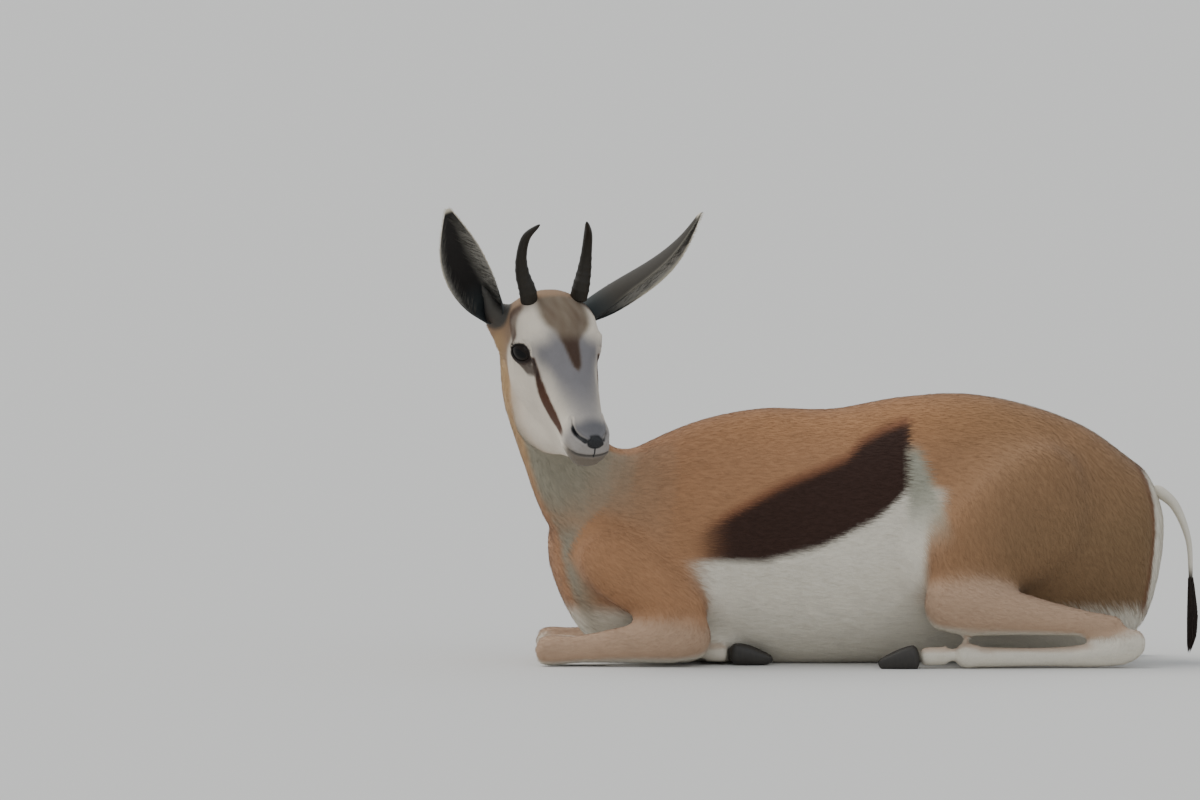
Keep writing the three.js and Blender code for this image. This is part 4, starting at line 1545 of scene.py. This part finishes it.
def closed_tube(path, middle, radius, around=10):
    """A ring-shaped tube: a circle at each place of the path, square to the path."""
    way = unit(np.roll(path, -1, 0) - np.roll(path, 1, 0))
    out = unit(path - middle)
    out = unit(out - way * np.sum(out * way, 1, keepdims=True))
    across = np.cross(way, out)
    turn = (np.arange(around) * 2 * np.pi / around)[None, :, None]
    points = path[:, None] + radius * (np.cos(turn) * out[:, None] + np.sin(turn) * across[:, None])
    i = np.arange(len(path))[:, None]
    j = np.arange(around)[None]
    n_i, n_j = (i + 1) % len(path), (j + 1) % around
    corners = [i * around + j, i * around + n_j, n_i * around + n_j, n_i * around + j]
    quads = np.stack(corners, -1).reshape(-1, 4)
    tris = np.concatenate([quads[:, [0, 1, 2]], quads[:, [0, 2, 3]]])
    verts = points.reshape(-1, 3)
    return verts, outward(verts - middle, tris)


print("Points of a lid's edge:", len(lid_ring(EYE_SIDES[0])))

# %% Lashes, and the lids' pieces
LASHES = 46


def spikes(root, tip, half, thick):
    """Closed spikes of four triangles: two corners across the root, one sunk under it, and the tip."""
    sunk = root - thick
    verts = np.stack([root - half, root + half, sunk, tip], 1).reshape(-1, 3)
    first = 4 * np.arange(len(root))[:, None, None]
    tris = first + np.array([[0, 1, 3], [1, 2, 3], [2, 0, 3], [0, 2, 1]])
    tris = tris.reshape(-1, 3)
    a, b, c = verts[tris[0]]
    inside = verts[:4].mean(0)
    return verts, tris if np.dot(np.cross(b - a, c - a), a - inside) > 0 else tris[:, ::-1]


lid_book = Book("lid_edge", Specular_IOR_Level=0.25)
lid_tone = lid_book.mix(lid_book.noise(220, 3), (0.005, 0.004, 0.0035, 1), (0.014, 0.011, 0.009, 1))
lid_material = lid_book.shade(Base_Color=lid_tone, Roughness=lid_book.noise(160) * 0.2 + 0.28)
for side_name, side in SIDES.items():
    centre, front, high, look = eye_axes(-side)
    path = lid_ring(-side)
    grids = [closed_tube(path, centre, LID_TUBE)]
    spread = random.random(LASHES)
    place = np.interp(spread, [0, 1], [4, len(path) / 2 - 3])
    root = smooth(path, place / (len(path) - 1))
    out = unit(root - centre)
    lash = out * 0.75 + high * 0.5 + front * (spread[:, None] - 0.5) * 0.5
    tip = root + unit(lash) * (4.5 + 2.0 * np.sin(np.pi * spread))[:, None]
    across = unit(np.cross(lash, look)) * 0.28
    grids.append(spikes(root, tip, across, out * 0.5))
    verts, tris = joined(grids)
    mesh = build_mesh(f"lids_{side_name}", from_head(verts), tris)
    add_piece(f"lids_{side_name}", mesh, lid_material)

# %% [markdown]
# ## Horns
# A young ewe's horns are slim and nearly smooth, dark grey-brown, with shallow rings on the lower half
# and a polished tip. They are the solids' curve again, carried with many more rings, and each ring of
# the horn is a small swelling: the size is multiplied by a bump that repeats along the lower part. Both
# roots sit a little to her left, as the head's turn shows them in the photograph.

# %% Ringed horns
HORN_ROOT = np.array([-65.0, 31.0, 38.0])
HORN_PATH = [
    [6, -2, -14, 9.8],
    [-1, 1, 0, 9.5],
    [-13, 6, 14, 7.8],
    [-23, 8, 32, 6.0],
    [-29, 6, 57, 4.8],
    [-24, -3, 83, 1.6],
]
HORN_DORSAL = np.array([-0.5, 0, -1.0])
HORN_RINGS = 11
HORN_ASIDE = 4.0


def horn_grid(side, around=40, along=150):
    """The curve with one radius a row, times 1 plus a small bump that repeats and fades to the tip."""
    rows = np.array(HORN_PATH, float)
    rows[:, :3] += HORN_ROOT
    rows[:, 1] *= side
    rows[:, 1] += HORN_ASIDE * np.linspace(1, 0, len(rows))
    round_rows = rows[:, [0, 1, 2, 3, 3, 3]]
    points = ovals(round_rows, around, along, caps=(0.04, 0.06), ends=0.1, dorsal=HORN_DORSAL)
    middle = points.mean(1, keepdims=True)
    t = np.linspace(0, 1, along + 1)
    angle = np.arange(around) * 2 * np.pi / around
    wave = (0.5 + 0.5 * np.cos(2 * np.pi * HORN_RINGS * t))[:, None] ** 2
    uneven = 0.8 + 0.2 * np.cos(2 * angle + 1.0)[None]
    swell = 1 + 0.055 * wave * uneven * ramp(t, 0.72, 0.5)[:, None] * ramp(t, 0.1, 0.2)[:, None]
    return middle + (points - middle) * swell[..., None]


horn_book = Book("horn_keratin", Specular_IOR_Level=0.3)
streaks = horn_book.noise(90, 6, 0.65, stretch=(6, 6, 0.7))
grain = horn_book.noise(700, 4, 0.6, stretch=(3, 3, 0.5))
horn_tone = horn_book.mix(streaks, (0.004, 0.003, 0.002, 1), (0.026, 0.020, 0.012, 1))
horn_bump = horn_book.bump(grain + streaks, 0.5, 0.7)
horn_material = horn_book.shade(Base_Color=horn_tone, Roughness=streaks * 0.35 + 0.3, Normal=horn_bump)
for side_name, side in SIDES.items():
    verts, tris = closed_grid(horn_grid(-side))
    mesh = build_mesh(f"horn_ringed_{side_name}", from_head(verts), tris)
    add_piece(f"horn_ringed_{side_name}", mesh, horn_material, [f"horn_{side_name}"])

# %% [markdown]
# ## Ears
# Each ear is a leaf of thin skin, rolled into a trough: wide open in the middle and closed at the root
# and the tip. The skin's own stub carries on inside it to a point. The leaf's grid has one parameter
# from root to tip, and the other goes round the leaf's outside and back over its inside, so it is one
# closed body with a thin rim. Low ridges run up the inside. The colours are worked out on the same
# grid: a dark hollow, a pale rim that is partly painted rim light, and a back darkened to slate, which
# is painted shade.

# %% Ear leaves
EAR_THICK = 3.0
EAR_TURNS = {
    "right": {"bow": -9.0, "lean": 0.0, "skew": 0.9, "curl": 1.0},
    "left": {"bow": 16.0, "lean": 12.0, "skew": 1.5, "curl": 1.2},
}
EAR_LEAF = [[33, 150], [37, 110], [37, 86], [34, 74], [27, 66], [15, 58], [2.5, 50]]
EAR_RIDGES = 5


def round_leaf(around, along):
    """The leaf's two parameters: t from root to tip, the angle round it, whether it is the inside,
    and the share across from one edge to the other."""
    t = np.linspace(0, 1, along + 1)[:, None]
    angle = (np.arange(around) * 2 * np.pi / around)[None]
    inner = angle > np.pi
    share = np.where(inner, (angle - np.pi) / np.pi, 1 - angle / np.pi)
    return t, angle, inner, share


def ear_grid(side_name, around=96, along=84):
    """The rolled leaf. Point = root + up * t * length + across * (sin of the turn * depth + bow) +
    out * (part of the roll's radius - cos of the turn * depth + lean). Depth is the radius, a little
    more on the outside."""
    root, length, up, out, across = ear_frame(side_name)
    bent = EAR_TURNS[side_name]
    t, angle, inner, share = round_leaf(around, along)
    leaf = smooth(np.array(EAR_LEAF, float), t[:, 0])
    roll = np.radians(leaf[:, 1:] * bent["curl"])
    radius = leaf[:, :1] / roll
    turn = (share * 2 - 1) * roll
    ridges = inner * 0.5 * np.cos(EAR_RIDGES * np.pi * share) * ramp(t, 0.05, 0.25) * ramp(t, 0.9, 0.6)
    depth = radius + (EAR_THICK / 2 - 0.2) * np.sin(angle) - ridges * np.abs(np.sin(angle)) ** 0.5
    end = rounded(t, 0.02) * rounded(1 - t, 0.04)
    bend = np.sin(np.pi * t ** bent["skew"])
    sideways = np.sin(turn) * depth * end + bent["bow"] * bend
    outwards = (radius * 0.6 - np.cos(turn) * depth) * end + bent["lean"] * bend
    return root + up * (t * length)[..., None] + across * sideways[..., None] + out * outwards[..., None]


print("Ear lengths, mm:", {name: round(ear_frame(name)[1]) for name in SIDES})

# %% Colours of the ears
EAR_HOLLOW = linear(26, 23, 22)
EAR_GREY = linear(146, 142, 134)
# The ear's back darkened to slate: painted shade.
EAR_BACK_SHADED = linear(66, 62, 56)
# The pale rim: partly the hair's colour, partly painted rim light.
EAR_RIM_PALE_AND_RIM_LIGHT = linear(212, 203, 184)
# How pale each ear's outer edge is painted, rim light in part.
OUTER_RIM = {"right": 1.0, "left": 0.25}


def ear_colours(side_name, around=96, along=84):
    """Slate outside, which is painted shade, and at the root; dark in the hollow, grey near both edges,
    pale at rim and tip, which is partly painted rim light.
    """
    t, angle, inner, share = round_leaf(around, along)
    flat = lambda grid: np.concatenate([grid[:1, 0], grid[1:-1].ravel(), grid[-1:, 0]])
    inner, share, t = flat(inner + 0 * t), flat(share + 0 * t), flat(t + 0 * share)
    edge = np.minimum(share, 1 - share)
    # Painted shade: the back laid on dark.
    back = paint(np.tile(EAR_BACK_SHADED, (len(t), 1)), EAR_BASE, ramp(t, 0.3, 0.05))
    front = marked(
        np.tile(EAR_HOLLOW, (len(t), 1)),
        (EAR_GREY, ramp(share, 0.55, 0.78) * ramp(t, 0.97, 0.6)),
        (EAR_GREY, 0.8 * ramp(share, 0.2, 0.1) * ramp(t, 0.9, 0.6)),
        (EAR_BASE, 0.9 * ramp(t, 0.3, 0.06)),
    )
    # Partly painted rim light: the pale edges and tip.
    rim = ramp(edge, 0.055, 0.02) * np.where(share < 0.5, OUTER_RIM[side_name], 1)
    rim = np.maximum(rim, ramp(t, 0.94, 0.985)) * ramp(t, 0.16, 0.4)
    return marked(back, (front, inner), (EAR_RIM_PALE_AND_RIM_LIGHT, rim))


ear_material = coat_material("ear_down", nap_mm=0.25)
for side_name in SIDES:
    verts, tris = closed_grid(ear_grid(side_name))
    mesh = build_mesh(f"ear_leaf_{side_name}", from_head(verts), tris)
    set_colours(mesh, ear_colours(side_name))
    add_piece(f"ear_leaf_{side_name}", mesh, ear_material, [f"ear_{side_name}"])

# %% [markdown]
# ## Hair as meshes
# Blender has hair curves, but the part is handed on as plain meshes, so each hair is a small closed
# solid. A spike has four triangles; a strand has ten and a bend in it. Hairs that lie on the skin are
# flat-shaded: each face is then lit as the skin below is, and no dark ends show. Every hair is a small
# patch on its mesh's map.

# %% Strands and hair meshes
PATCH = 0.0015
STRAND_CORNERS, SPIKE_CORNERS = 7, 4


def strands(root, bend, tip, half, thick):
    """Closed hairs of ten triangles: a three-sided ring at the root, another at the bend, and a point."""

    def ring(place, wide):
        return np.stack([place - half * wide, place + half * wide, place - thick * wide], 1)

    verts = np.concatenate([ring(root, 1.0), ring(bend, 0.8), tip[:, None]], 1)
    faces = [[0, 2, 1], [0, 1, 4], [0, 4, 3], [1, 2, 5], [1, 5, 4], [2, 0, 3], [2, 3, 5]]
    faces += [[3, 4, 6], [4, 5, 6], [5, 3, 6]]
    tris = (STRAND_CORNERS * np.arange(len(root))[:, None, None] + np.array(faces)).reshape(-1, 3)
    a, b, c = (verts[0][k] for k in faces[7])
    inside = verts[0].mean(0)
    verts = verts.reshape(-1, 3)
    return verts, tris if np.dot(np.cross(b - a, c - a), a - inside) > 0 else tris[:, ::-1]


def hair_mesh(name, verts, tris, colours, spread_uv):
    """A flat-shaded mesh of hairs with their colours and their map."""
    mesh = build_mesh(name, verts, tris)
    mesh.polygons.foreach_set("use_smooth", np.zeros(len(mesh.polygons), bool))
    set_colours(mesh, colours)
    layer = mesh.uv_layers.new(name="OFBake")
    corner = np.empty(len(mesh.loops), np.int32)
    mesh.loops.foreach_get("vertex_index", corner)
    layer.data.foreach_set("uv", spread_uv[corner].astype(np.float32).ravel())
    return mesh


def patches(u, v, corners):
    """Each hair's corners on a small circle round its root's place on the map."""
    around = np.linspace(0, 2 * np.pi, corners, endpoint=False)
    ring = np.stack([np.cos(around), np.sin(around)], 1) * PATCH
    return (np.stack([u, v], 1)[:, None] + ring).reshape(-1, 2)


def tones(low, high, count, shades):
    """A random tone for each hair times a shade for each of its corners."""
    return random.uniform(low, high, count)[:, None, None] * np.array(shades)[None, :, None]


print("Triangles in a hair: spike 4, strand 10")

# %% [markdown]
# ## Hair in and round the ears
# Long soft hairs stand inside each ear and lean over the hollow, most of them near one edge. Short ones
# fringe the rim, pale like it. Both start at places on the leaf's own grid, so that they follow its
# roll.

# %% Ear hair
INNER_HAIR, RIM_HAIR = 320, 900


def on_leaf(grid, share, t):
    """Places on the inside of the leaf's grid at a share across it and t along it."""
    along, around = grid.shape[0] - 1, grid.shape[1]
    column = np.round((np.pi + share * np.pi) / (2 * np.pi) * around).astype(int) % around
    return grid[np.round(t * along).astype(int), column]


def inner_hair(grid, up, out):
    """Strands from near the edges that lean up the ear and over its middle, with the share each one
    starts at."""
    count = INNER_HAIR
    t = random.uniform(0.1, 0.86, count)
    share = np.where(random.random(count) < 0.7, random.uniform(0.66, 0.93, count), 0.12)
    share = share + random.normal(0, 0.03, count)
    root = on_leaf(grid, share, t)
    toward = unit(on_leaf(grid, np.full(count, 0.5), t) - root)
    lengths = random.uniform(9, 17, count)[:, None]
    bend = root + (0.55 * toward + 0.45 * out + 0.9 * up) * lengths * 0.45
    tip = root + (0.85 * toward + 0.12 * out + 1.15 * up) * lengths * 0.8
    half = unit(np.cross(tip - root, out)) * 0.22
    hairs = strands(root, bend, tip, half, np.tile(out * 0.3, (count, 1)))
    colour = 0.04 * EAR_RIM_PALE_AND_RIM_LIGHT + 0.16 * EAR_GREY
    return hairs, colour * tones(0.75, 1.15, count, [0.8, 0.8, 0.8, 1, 1, 1, 1.1]), share


def rim_hair(grid, up, side_name):
    """Spikes from both edges that point up and away from the hollow, with the edge and the t of each."""
    count = RIM_HAIR
    t = random.uniform(0.03, 0.995, count)
    edge = np.where(random.random(count) < 0.5, 0.02, 0.98)
    root = on_leaf(grid, edge, t)
    away = unit(root - on_leaf(grid, np.full(count, 0.5), t))
    spread = random.uniform(0.1, 0.5, count)[:, None]
    way = unit(up + away * spread + random.normal(0, 0.12, (count, 3)))
    tip = root + way * random.uniform(2.5, 4.5, count)[:, None]
    hairs = spikes(root, tip, unit(np.cross(way, away)) * 0.5, away * 0.6)
    # The rim hairs are pale as the rim is: partly painted rim light.
    pale = ramp(t, 0.2, 0.45) * np.where(edge < 0.5, OUTER_RIM[side_name], 1)
    colour = paint(np.tile(EAR_BASE, (count, 1)), EAR_RIM_PALE_AND_RIM_LIGHT, pale)[:, None]
    return hairs, colour * tones(0.8, 1.1, count, [0.9, 0.9, 0.9, 1.05]), edge, t


for side_name in SIDES:
    grid = ear_grid(side_name)
    _, _, up, out, _ = ear_frame(side_name)
    inner_hairs, inner_colours, share = inner_hair(grid, up, out)
    rim_hairs, rim_colours, edge, t = rim_hair(grid, up, side_name)
    verts, tris = joined([inner_hairs, rim_hairs])
    colours = np.concatenate([inner_colours.reshape(-1, 3), rim_colours.reshape(-1, 3)])
    inner_map = patches(share * 0.9 + 0.05, random.uniform(0.02, 0.48, INNER_HAIR), STRAND_CORNERS)
    rim_map = patches(edge * 0.9 + 0.05, t * 0.45 + 0.52, SPIKE_CORNERS)
    name = f"ear_hair_{side_name}"
    mesh = hair_mesh(name, from_head(verts), tris, colours, np.concatenate([inner_map, rim_map]))
    add_piece(name, mesh, ear_material)

# %% [markdown]
# ## Nose leather
# The bare nose is moist and pebbled. A separate lump would never meet the skin cleanly, so it is lifted
# from the skin itself: the skin's own triangles between and round the nostrils are copied, pushed out
# by a third of a millimetre, and given a wall down into the skin.

# %% Nose leather
LEATHER_OUT, LEATHER_IN, LEATHER_RIM = 0.35, 1.1, -0.05
PAD_FROM_X, SLIT_FROM_X, SLIT_WIDE = 125, 96, 1.9


def lifted(chosen):
    """A closed shell on the chosen triangles: their points pushed out, again pushed in, and a wall."""
    tris = skin_tris[chosen]
    used, tris = np.unique(tris, return_inverse=True)
    tris = tris.reshape(-1, 3)
    points, normals = skin_points[used], skin_normals[used]
    count = len(used)
    sides = np.concatenate([tris[:, [0, 1]], tris[:, [1, 2]], tris[:, [2, 0]]])
    key = sides[:, 0].astype(np.int64) * count + sides[:, 1]
    back = sides[:, 1].astype(np.int64) * count + sides[:, 0]
    rim = sides[~np.isin(key, back)]
    rise = np.full(count, LEATHER_OUT)
    rise[np.unique(rim)] = LEATHER_RIM
    verts = np.concatenate([points + normals * rise[:, None], points - normals * LEATHER_IN])
    a, b = rim[:, 0], rim[:, 1]
    wall = np.concatenate([np.stack([a, a + count, b], 1), np.stack([b, a + count, b + count], 1)])
    return verts, np.concatenate([tris, tris[:, ::-1] + count, wall])


skin_head = to_head(skin_points)
head_x, head_y, head_z = skin_head.T
on_pad = (head_x > PAD_FROM_X) & (nose_pad_share(np.abs(head_y), head_z) < 1)
in_slit = (nostril_near + FAR_NOSTRIL * (head_y > 0) < SLIT_WIDE) & (head_x > SLIT_FROM_X)
leather_here = within(skin_head, *MUZZLE_BOX) & (on_pad | in_slit)
nose_book = Book("nose_leather", Specular_IOR_Level=0.3, Coat_Weight=0.15, Coat_Roughness=0.3)
pebbles = nose_book.node("ShaderNodeTexVoronoi", {}, {"Vector": nose_book.where(), "Scale": 620.0})
nose_tone = nose_book.mix(pebbles, (0.016, 0.017, 0.019, 1), (0.005, 0.005, 0.006, 1))
nose_bump = nose_book.bump(pebbles, 0.4, 0.6)
nose_material = nose_book.shade(Base_Color=nose_tone, Roughness=pebbles * 0.2 + 0.36, Normal=nose_bump)
leather_mesh = build_mesh("nose_leather", *lifted(leather_here[skin_tris].all(1)))
add_piece("nose_leather", leather_mesh, nose_material, ["nose_pad"])

# %% [markdown]
# ## Hooves
# Each foot has two claws of black keratin, worn round at the tip and flat below where they rest on the
# ground. They are ovals along the solids' own rows, cut flat by raising what is below the floor. Fine
# growth rings run round each claw, made by a stretched noise in the bump.

# %% Claws
def claw_grid(rows, side, shift):
    """One claw: ovals along its rows, shifted from the middle of the foot, and flat at the floor."""
    rows = np.array(rows, float)
    rows[:, 1] += shift
    points = ovals(on_side(side, rows), 48, 44, caps=(0.15, 0.12), power=(2.2, 2.6))
    points[..., 2] = np.maximum(points[..., 2], 0.0)
    return points


hoof_book = Book("hoof_keratin", Specular_IOR_Level=0.4, Coat_Weight=0.1, Coat_Roughness=0.4)
rings = hoof_book.noise(60, 5, 0.6, stretch=(9, 1, 2))
hoof_tone = hoof_book.mix(rings, (0.010, 0.009, 0.008, 1), (0.045, 0.038, 0.031, 1))
hoof_bump = hoof_book.bump(rings, 0.6, 0.6)
hoof_material = hoof_book.shade(Base_Color=hoof_tone, Roughness=rings * 0.35 + 0.38, Normal=hoof_bump)
for side_name, side in SIDES.items():
    for foot, rows in (("fore", FORE_CLAW), ("hind", HIND_CLAW)):
        for place, shift in (("inner", CLAW_APART), ("outer", -CLAW_APART)):
            name = f"{foot}_hoof_{place}_{side_name}"
            mesh = build_mesh(name, *closed_grid(claw_grid(rows, side, shift)))
            add_piece(name, mesh, hoof_material, [f"{foot}_claw_{place}_{side_name}"])

# %% [markdown]
# ## Tail
# The tail is thin and white, hangs close to the rump, and ends in a brush of dark hair. Its skin is its
# own loft, because it is thinner than the melt can hold. The brush is nine hundred strands that start
# round the tail's last third and fall together to a point.

# %% Tail and its brush
TAIL_WHITE = 0.92 * WHITE
TAIL_DARK = linear(38, 27, 21)
BRUSH = [[482, -14, 96], [484, -17, 55], [483, -19, 28], [479, -20, 8]]
BRUSH_SPREAD = [4.0, 8.5, 7.0, 2.0]
BRUSH_HAIRS = 900
BRUSH_CLEARANCE = 1.0
tail_verts, tail_tris = closed_grid(body("tail", TAIL, dorsal=ALONG_X, around=32, along=120))
tail_mesh = build_mesh("tail_skin", tail_verts, tail_tris)
tail_dark_end = ramp(tail_verts[:, 2], 112, 92)
set_colours(tail_mesh, paint(np.tile(TAIL_WHITE, (len(tail_verts), 1)), TAIL_DARK, tail_dark_end))
add_piece("tail_skin", tail_mesh, coat, ["tail"])

start = random.uniform(0, 0.42, BRUSH_HAIRS)
turn = random.uniform(0, 2 * np.pi, BRUSH_HAIRS)
swing = np.sqrt(random.random(BRUSH_HAIRS))


def brush_place(t):
    """The brush's middle line at t, moved out sideways by its spread there."""
    middle = smooth(np.array(BRUSH, float), t)
    out = np.stack([np.cos(turn), np.sin(turn), 0 * turn], 1) * np.array([0.7, 1.0, 1.0])
    wide = np.interp(t, [0, 0.33, 0.66, 1], BRUSH_SPREAD)
    return middle + out * (wide * swing)[:, None]


reach = random.uniform(0.4, 0.58, BRUSH_HAIRS)
root, tip = brush_place(start), brush_place(np.minimum(start + reach, 1))
bend = brush_place(start + reach * 0.5)
across = unit(np.cross(tip - root, random.normal(0, 1, (BRUSH_HAIRS, 3)))) * 0.55
thick = unit(np.cross(tip - root, across)) * 0.6
verts, tris = strands(root, bend, tip, across, thick)
verts[:, 2] = np.maximum(verts[:, 2], BRUSH_CLEARANCE)
colours = (TAIL_DARK * tones(0.6, 1.5, BRUSH_HAIRS, np.ones(STRAND_CORNERS))).reshape(-1, 3)
uv = patches(turn / (2 * np.pi) * 0.94 + 0.03, start * 2 + 0.05, STRAND_CORNERS)
brush = hair_mesh("tail_brush", verts, tris, colours, uv)
add_piece("tail_brush", brush, coat, ["tail_lock_1", "tail_lock_2", "tail_lock_3"])

# %% [markdown]
# ## Fur
# The coat is short and sleek. Each tuft is one flat-shaded spike of four triangles that lies almost
# along the skin, with its root sunk in it. Where the tufts start is drawn evenly by area over the
# skin's triangles, and each one takes its direction, length and colour from the skin at its root. On
# the body they are nine millimetres long, on the feet four, on the face two to three. The eyes, the
# nose and the mouth stay bare.

# %% How long the fur is, and where there is none
FUR_LENGTH = {"torso": 9.5, "neck": 9.0, "upper_arm": 8.0, "thigh": 9.0, "shank": 6.5, "forearm": 6.0}
FOOT_FUR, FACE_FUR = 4.2, 3.4
BARE_BALL, BARE_LID, BARE_MOUTH = 0.4, -1.6, 1.6

length_of = [FUR_LENGTH.get(part_of(key), FOOT_FUR) for key in part_names[:-1]] + [FACE_FUR]
hair_long = np.array(length_of) @ part_share
hair_long *= 1 - 0.45 * part_share[is_head] * ramp(head_x, 70, 110)
hair_long *= 1 + 0.25 * part_share[part_names.index("torso")] * ramp(skin_points[:, 2], 100, 50)
bare = leather_here | (eye_distance(skin_head) < EYE_RADIUS + BARE_BALL)
for eye_side in EYE_SIDES:
    centre, front, high, look = eye_axes(eye_side)
    d = skin_head - centre
    margin, _ = lid_margin(d @ front, d @ high)
    bare |= (margin > BARE_LID) & (d @ look > 0) & (np.linalg.norm(d, axis=1) < 26)
mouth_gap = np.abs(head_z - np.interp(head_x, MOUTH_X, MOUTH_Z))
bare |= (mouth_gap < BARE_MOUTH) & (head_x > 96) & (part_share[is_head] > 0.5)
print("Bare points:", int(bare.sum()), "of", len(bare))

# %% Tufts from the skin
SPACING_PER_LENGTH, SPACING_MIN = 0.29, 1.45
TUFT_LEAN = math.radians(5)
TUFT_SWERVE = 0.11
TUFT_SUNK, TUFT_THICK = 0.12, 0.25
TUFT_CLEARANCE = 0.3


def tuft_roots(chosen):
    """Triangles and weights of the roots: a triangle has as many as its area over the spacing squared."""
    tris = skin_tris[chosen]
    a, b, c = (skin_points[tris[:, k]] for k in range(3))
    area = np.linalg.norm(np.cross(b - a, c - a), axis=1) / 2
    spacing = np.maximum(hair_long[tris].mean(1) * SPACING_PER_LENGTH, SPACING_MIN)
    wanted = np.concatenate([[0], np.cumsum(area / spacing**2)])
    place = np.arange(int(wanted[-1])) + random.random(int(wanted[-1]))
    picked = np.clip(np.searchsorted(wanted, place, side="right") - 1, 0, len(tris) - 1)
    u, v = random.random((2, len(picked)))
    over = u + v > 1
    u, v = np.where(over, 1 - u, u), np.where(over, 1 - v, v)
    return tris[picked], np.stack([1 - u - v, u, v], 1)


def fur_piece(name, chosen, unwrap):
    """One joined mesh of tufts. Tip = root + length * (lie * cos of the lean + normal * sin of the
    lean), and the lie is turned a little to one side by the swerve."""
    tris, weights = tuft_roots(chosen & ~bare[skin_tris].any(1))
    at_root = lambda values: np.einsum("nk,nk...->n...", weights, values[tris])
    root, normal, lie = at_root(skin_points), unit(at_root(skin_normals)), at_root(skin_lie)
    long, colour = at_root(hair_long), at_root(skin_colours)
    count = len(root)
    lie = unit(lie - normal * np.sum(lie * normal, 1, keepdims=True))
    side = np.cross(normal, lie)
    long = long * random.uniform(0.75, 1.2, count)
    lean = TUFT_LEAN * random.uniform(0.6, 1.6, count)
    swerve = random.normal(0, TUFT_SWERVE, count)
    way = lie * (np.cos(lean) * np.cos(swerve))[:, None] + normal * np.sin(lean)[:, None]
    way = way + side * np.sin(swerve)[:, None]
    root = root - normal * TUFT_SUNK
    tip = root + way * long[:, None]
    half = side * (long * random.uniform(0.045, 0.075, count))[:, None]
    verts, faces = spikes(root, tip, half, normal * TUFT_THICK)
    verts[:, 2] = np.maximum(verts[:, 2], TUFT_CLEARANCE)
    tone = random.normal(1, 0.035, count)[:, None, None] * np.array([1.0, 1.0, 0.97, 1.04])[None, :, None]
    uv = patches(*unwrap(root), SPIKE_CORNERS)
    mesh = hair_mesh(name, verts, faces, (colour[:, None] * tone).reshape(-1, 3), uv)
    return add_piece(name, mesh, fur_material)


def round_axis(origin, axis, low, high):
    """An unwrap round a straight axis: the angle across the map, and the place on the axis up the map."""
    axis = unit(np.array(axis, float))
    first = unit(np.cross(axis, [0.31, 0.2, 0.93]))
    second = np.cross(axis, first)

    def unwrap(points):
        d = points - np.array(origin, float)
        turn = np.arctan2(d @ second, d @ first) / (2 * np.pi) + 0.5
        up_map = np.clip((d @ axis - low) / (high - low), 0, 1)
        return 0.03 + 0.94 * turn, 0.02 + 0.96 * up_map

    return unwrap


fur_material = coat_material("fur", nap_mm=0.05)
print("Fur length, mm:", hair_long.min().round(1), "to", hair_long.max().round(1))

# %% Fur over the whole skin
TRUNK_PARTED_AT = 110
middle_of = skin_points[skin_tris].mean(1)
part_at = nearest[skin_tris[:, 0]]
on_her = {"left": middle_of[:, 1] < 0, "right": middle_of[:, 1] >= 0}


def on_parts(*names):
    """Whether each triangle belongs to one of the named parts."""
    return np.isin(part_at, [k for k, key in enumerate(part_names) if part_of(key) in names])


trunk_unwrap = round_axis((100, 0, 125), (1, 0, 0), -360, 380)
behind_parting = middle_of[:, 0] >= TRUNK_PARTED_AT
for end_name, at_end in (("front", ~behind_parting), ("rear", behind_parting)):
    for side_name in SIDES:
        chosen = on_parts("torso") & at_end & on_her[side_name]
        fur_piece(f"fur_trunk_{end_name}_{side_name}", chosen, trunk_unwrap)
neck_unwrap = round_axis((-225, -20, 270), (-0.2, -0.1, 1), -150, 190)
fur_piece("fur_neck", on_parts("neck"), neck_unwrap)
for side_name, side in SIDES.items():
    here = on_her[side_name]
    arm = round_axis((-130, 90 * side, 90), (-1, 0, 1), -140, 140)
    haunch = round_axis((270, 100 * side, 120), (1, 0, 0.4), -170, 190)
    feet = round_axis((0, 90 * side, 15), (1, 0, 0), -280, 430)
    on_feet = on_parts("fore_cannon", "fore_pastern", "hind_cannon", "hind_pastern")
    fur_piece(f"fur_arm_{side_name}", on_parts("upper_arm", "forearm") & here, arm)
    fur_piece(f"fur_haunch_{side_name}", on_parts("thigh", "shank") & here, haunch)
    fur_piece(f"fur_feet_{side_name}", on_feet & here, feet)
head_unwrap = round_axis(HEAD_AT - HEAD_DORSAL * 15, HEAD_FORWARD, -110, 150)
fur_piece("fur_head", on_parts("head"), head_unwrap)

# %% [markdown]
# ## The dressed part's size
# The box round everything that is shown, the floor apart, is printed in mm. The dressed part has to
# stay in the imported solids' box, apart from a hair's depth.

# %% Print the box
low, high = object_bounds()
list(map(float, high))
print("Visual box, mm:", [round(v / MM) for v in (*low, *high)])
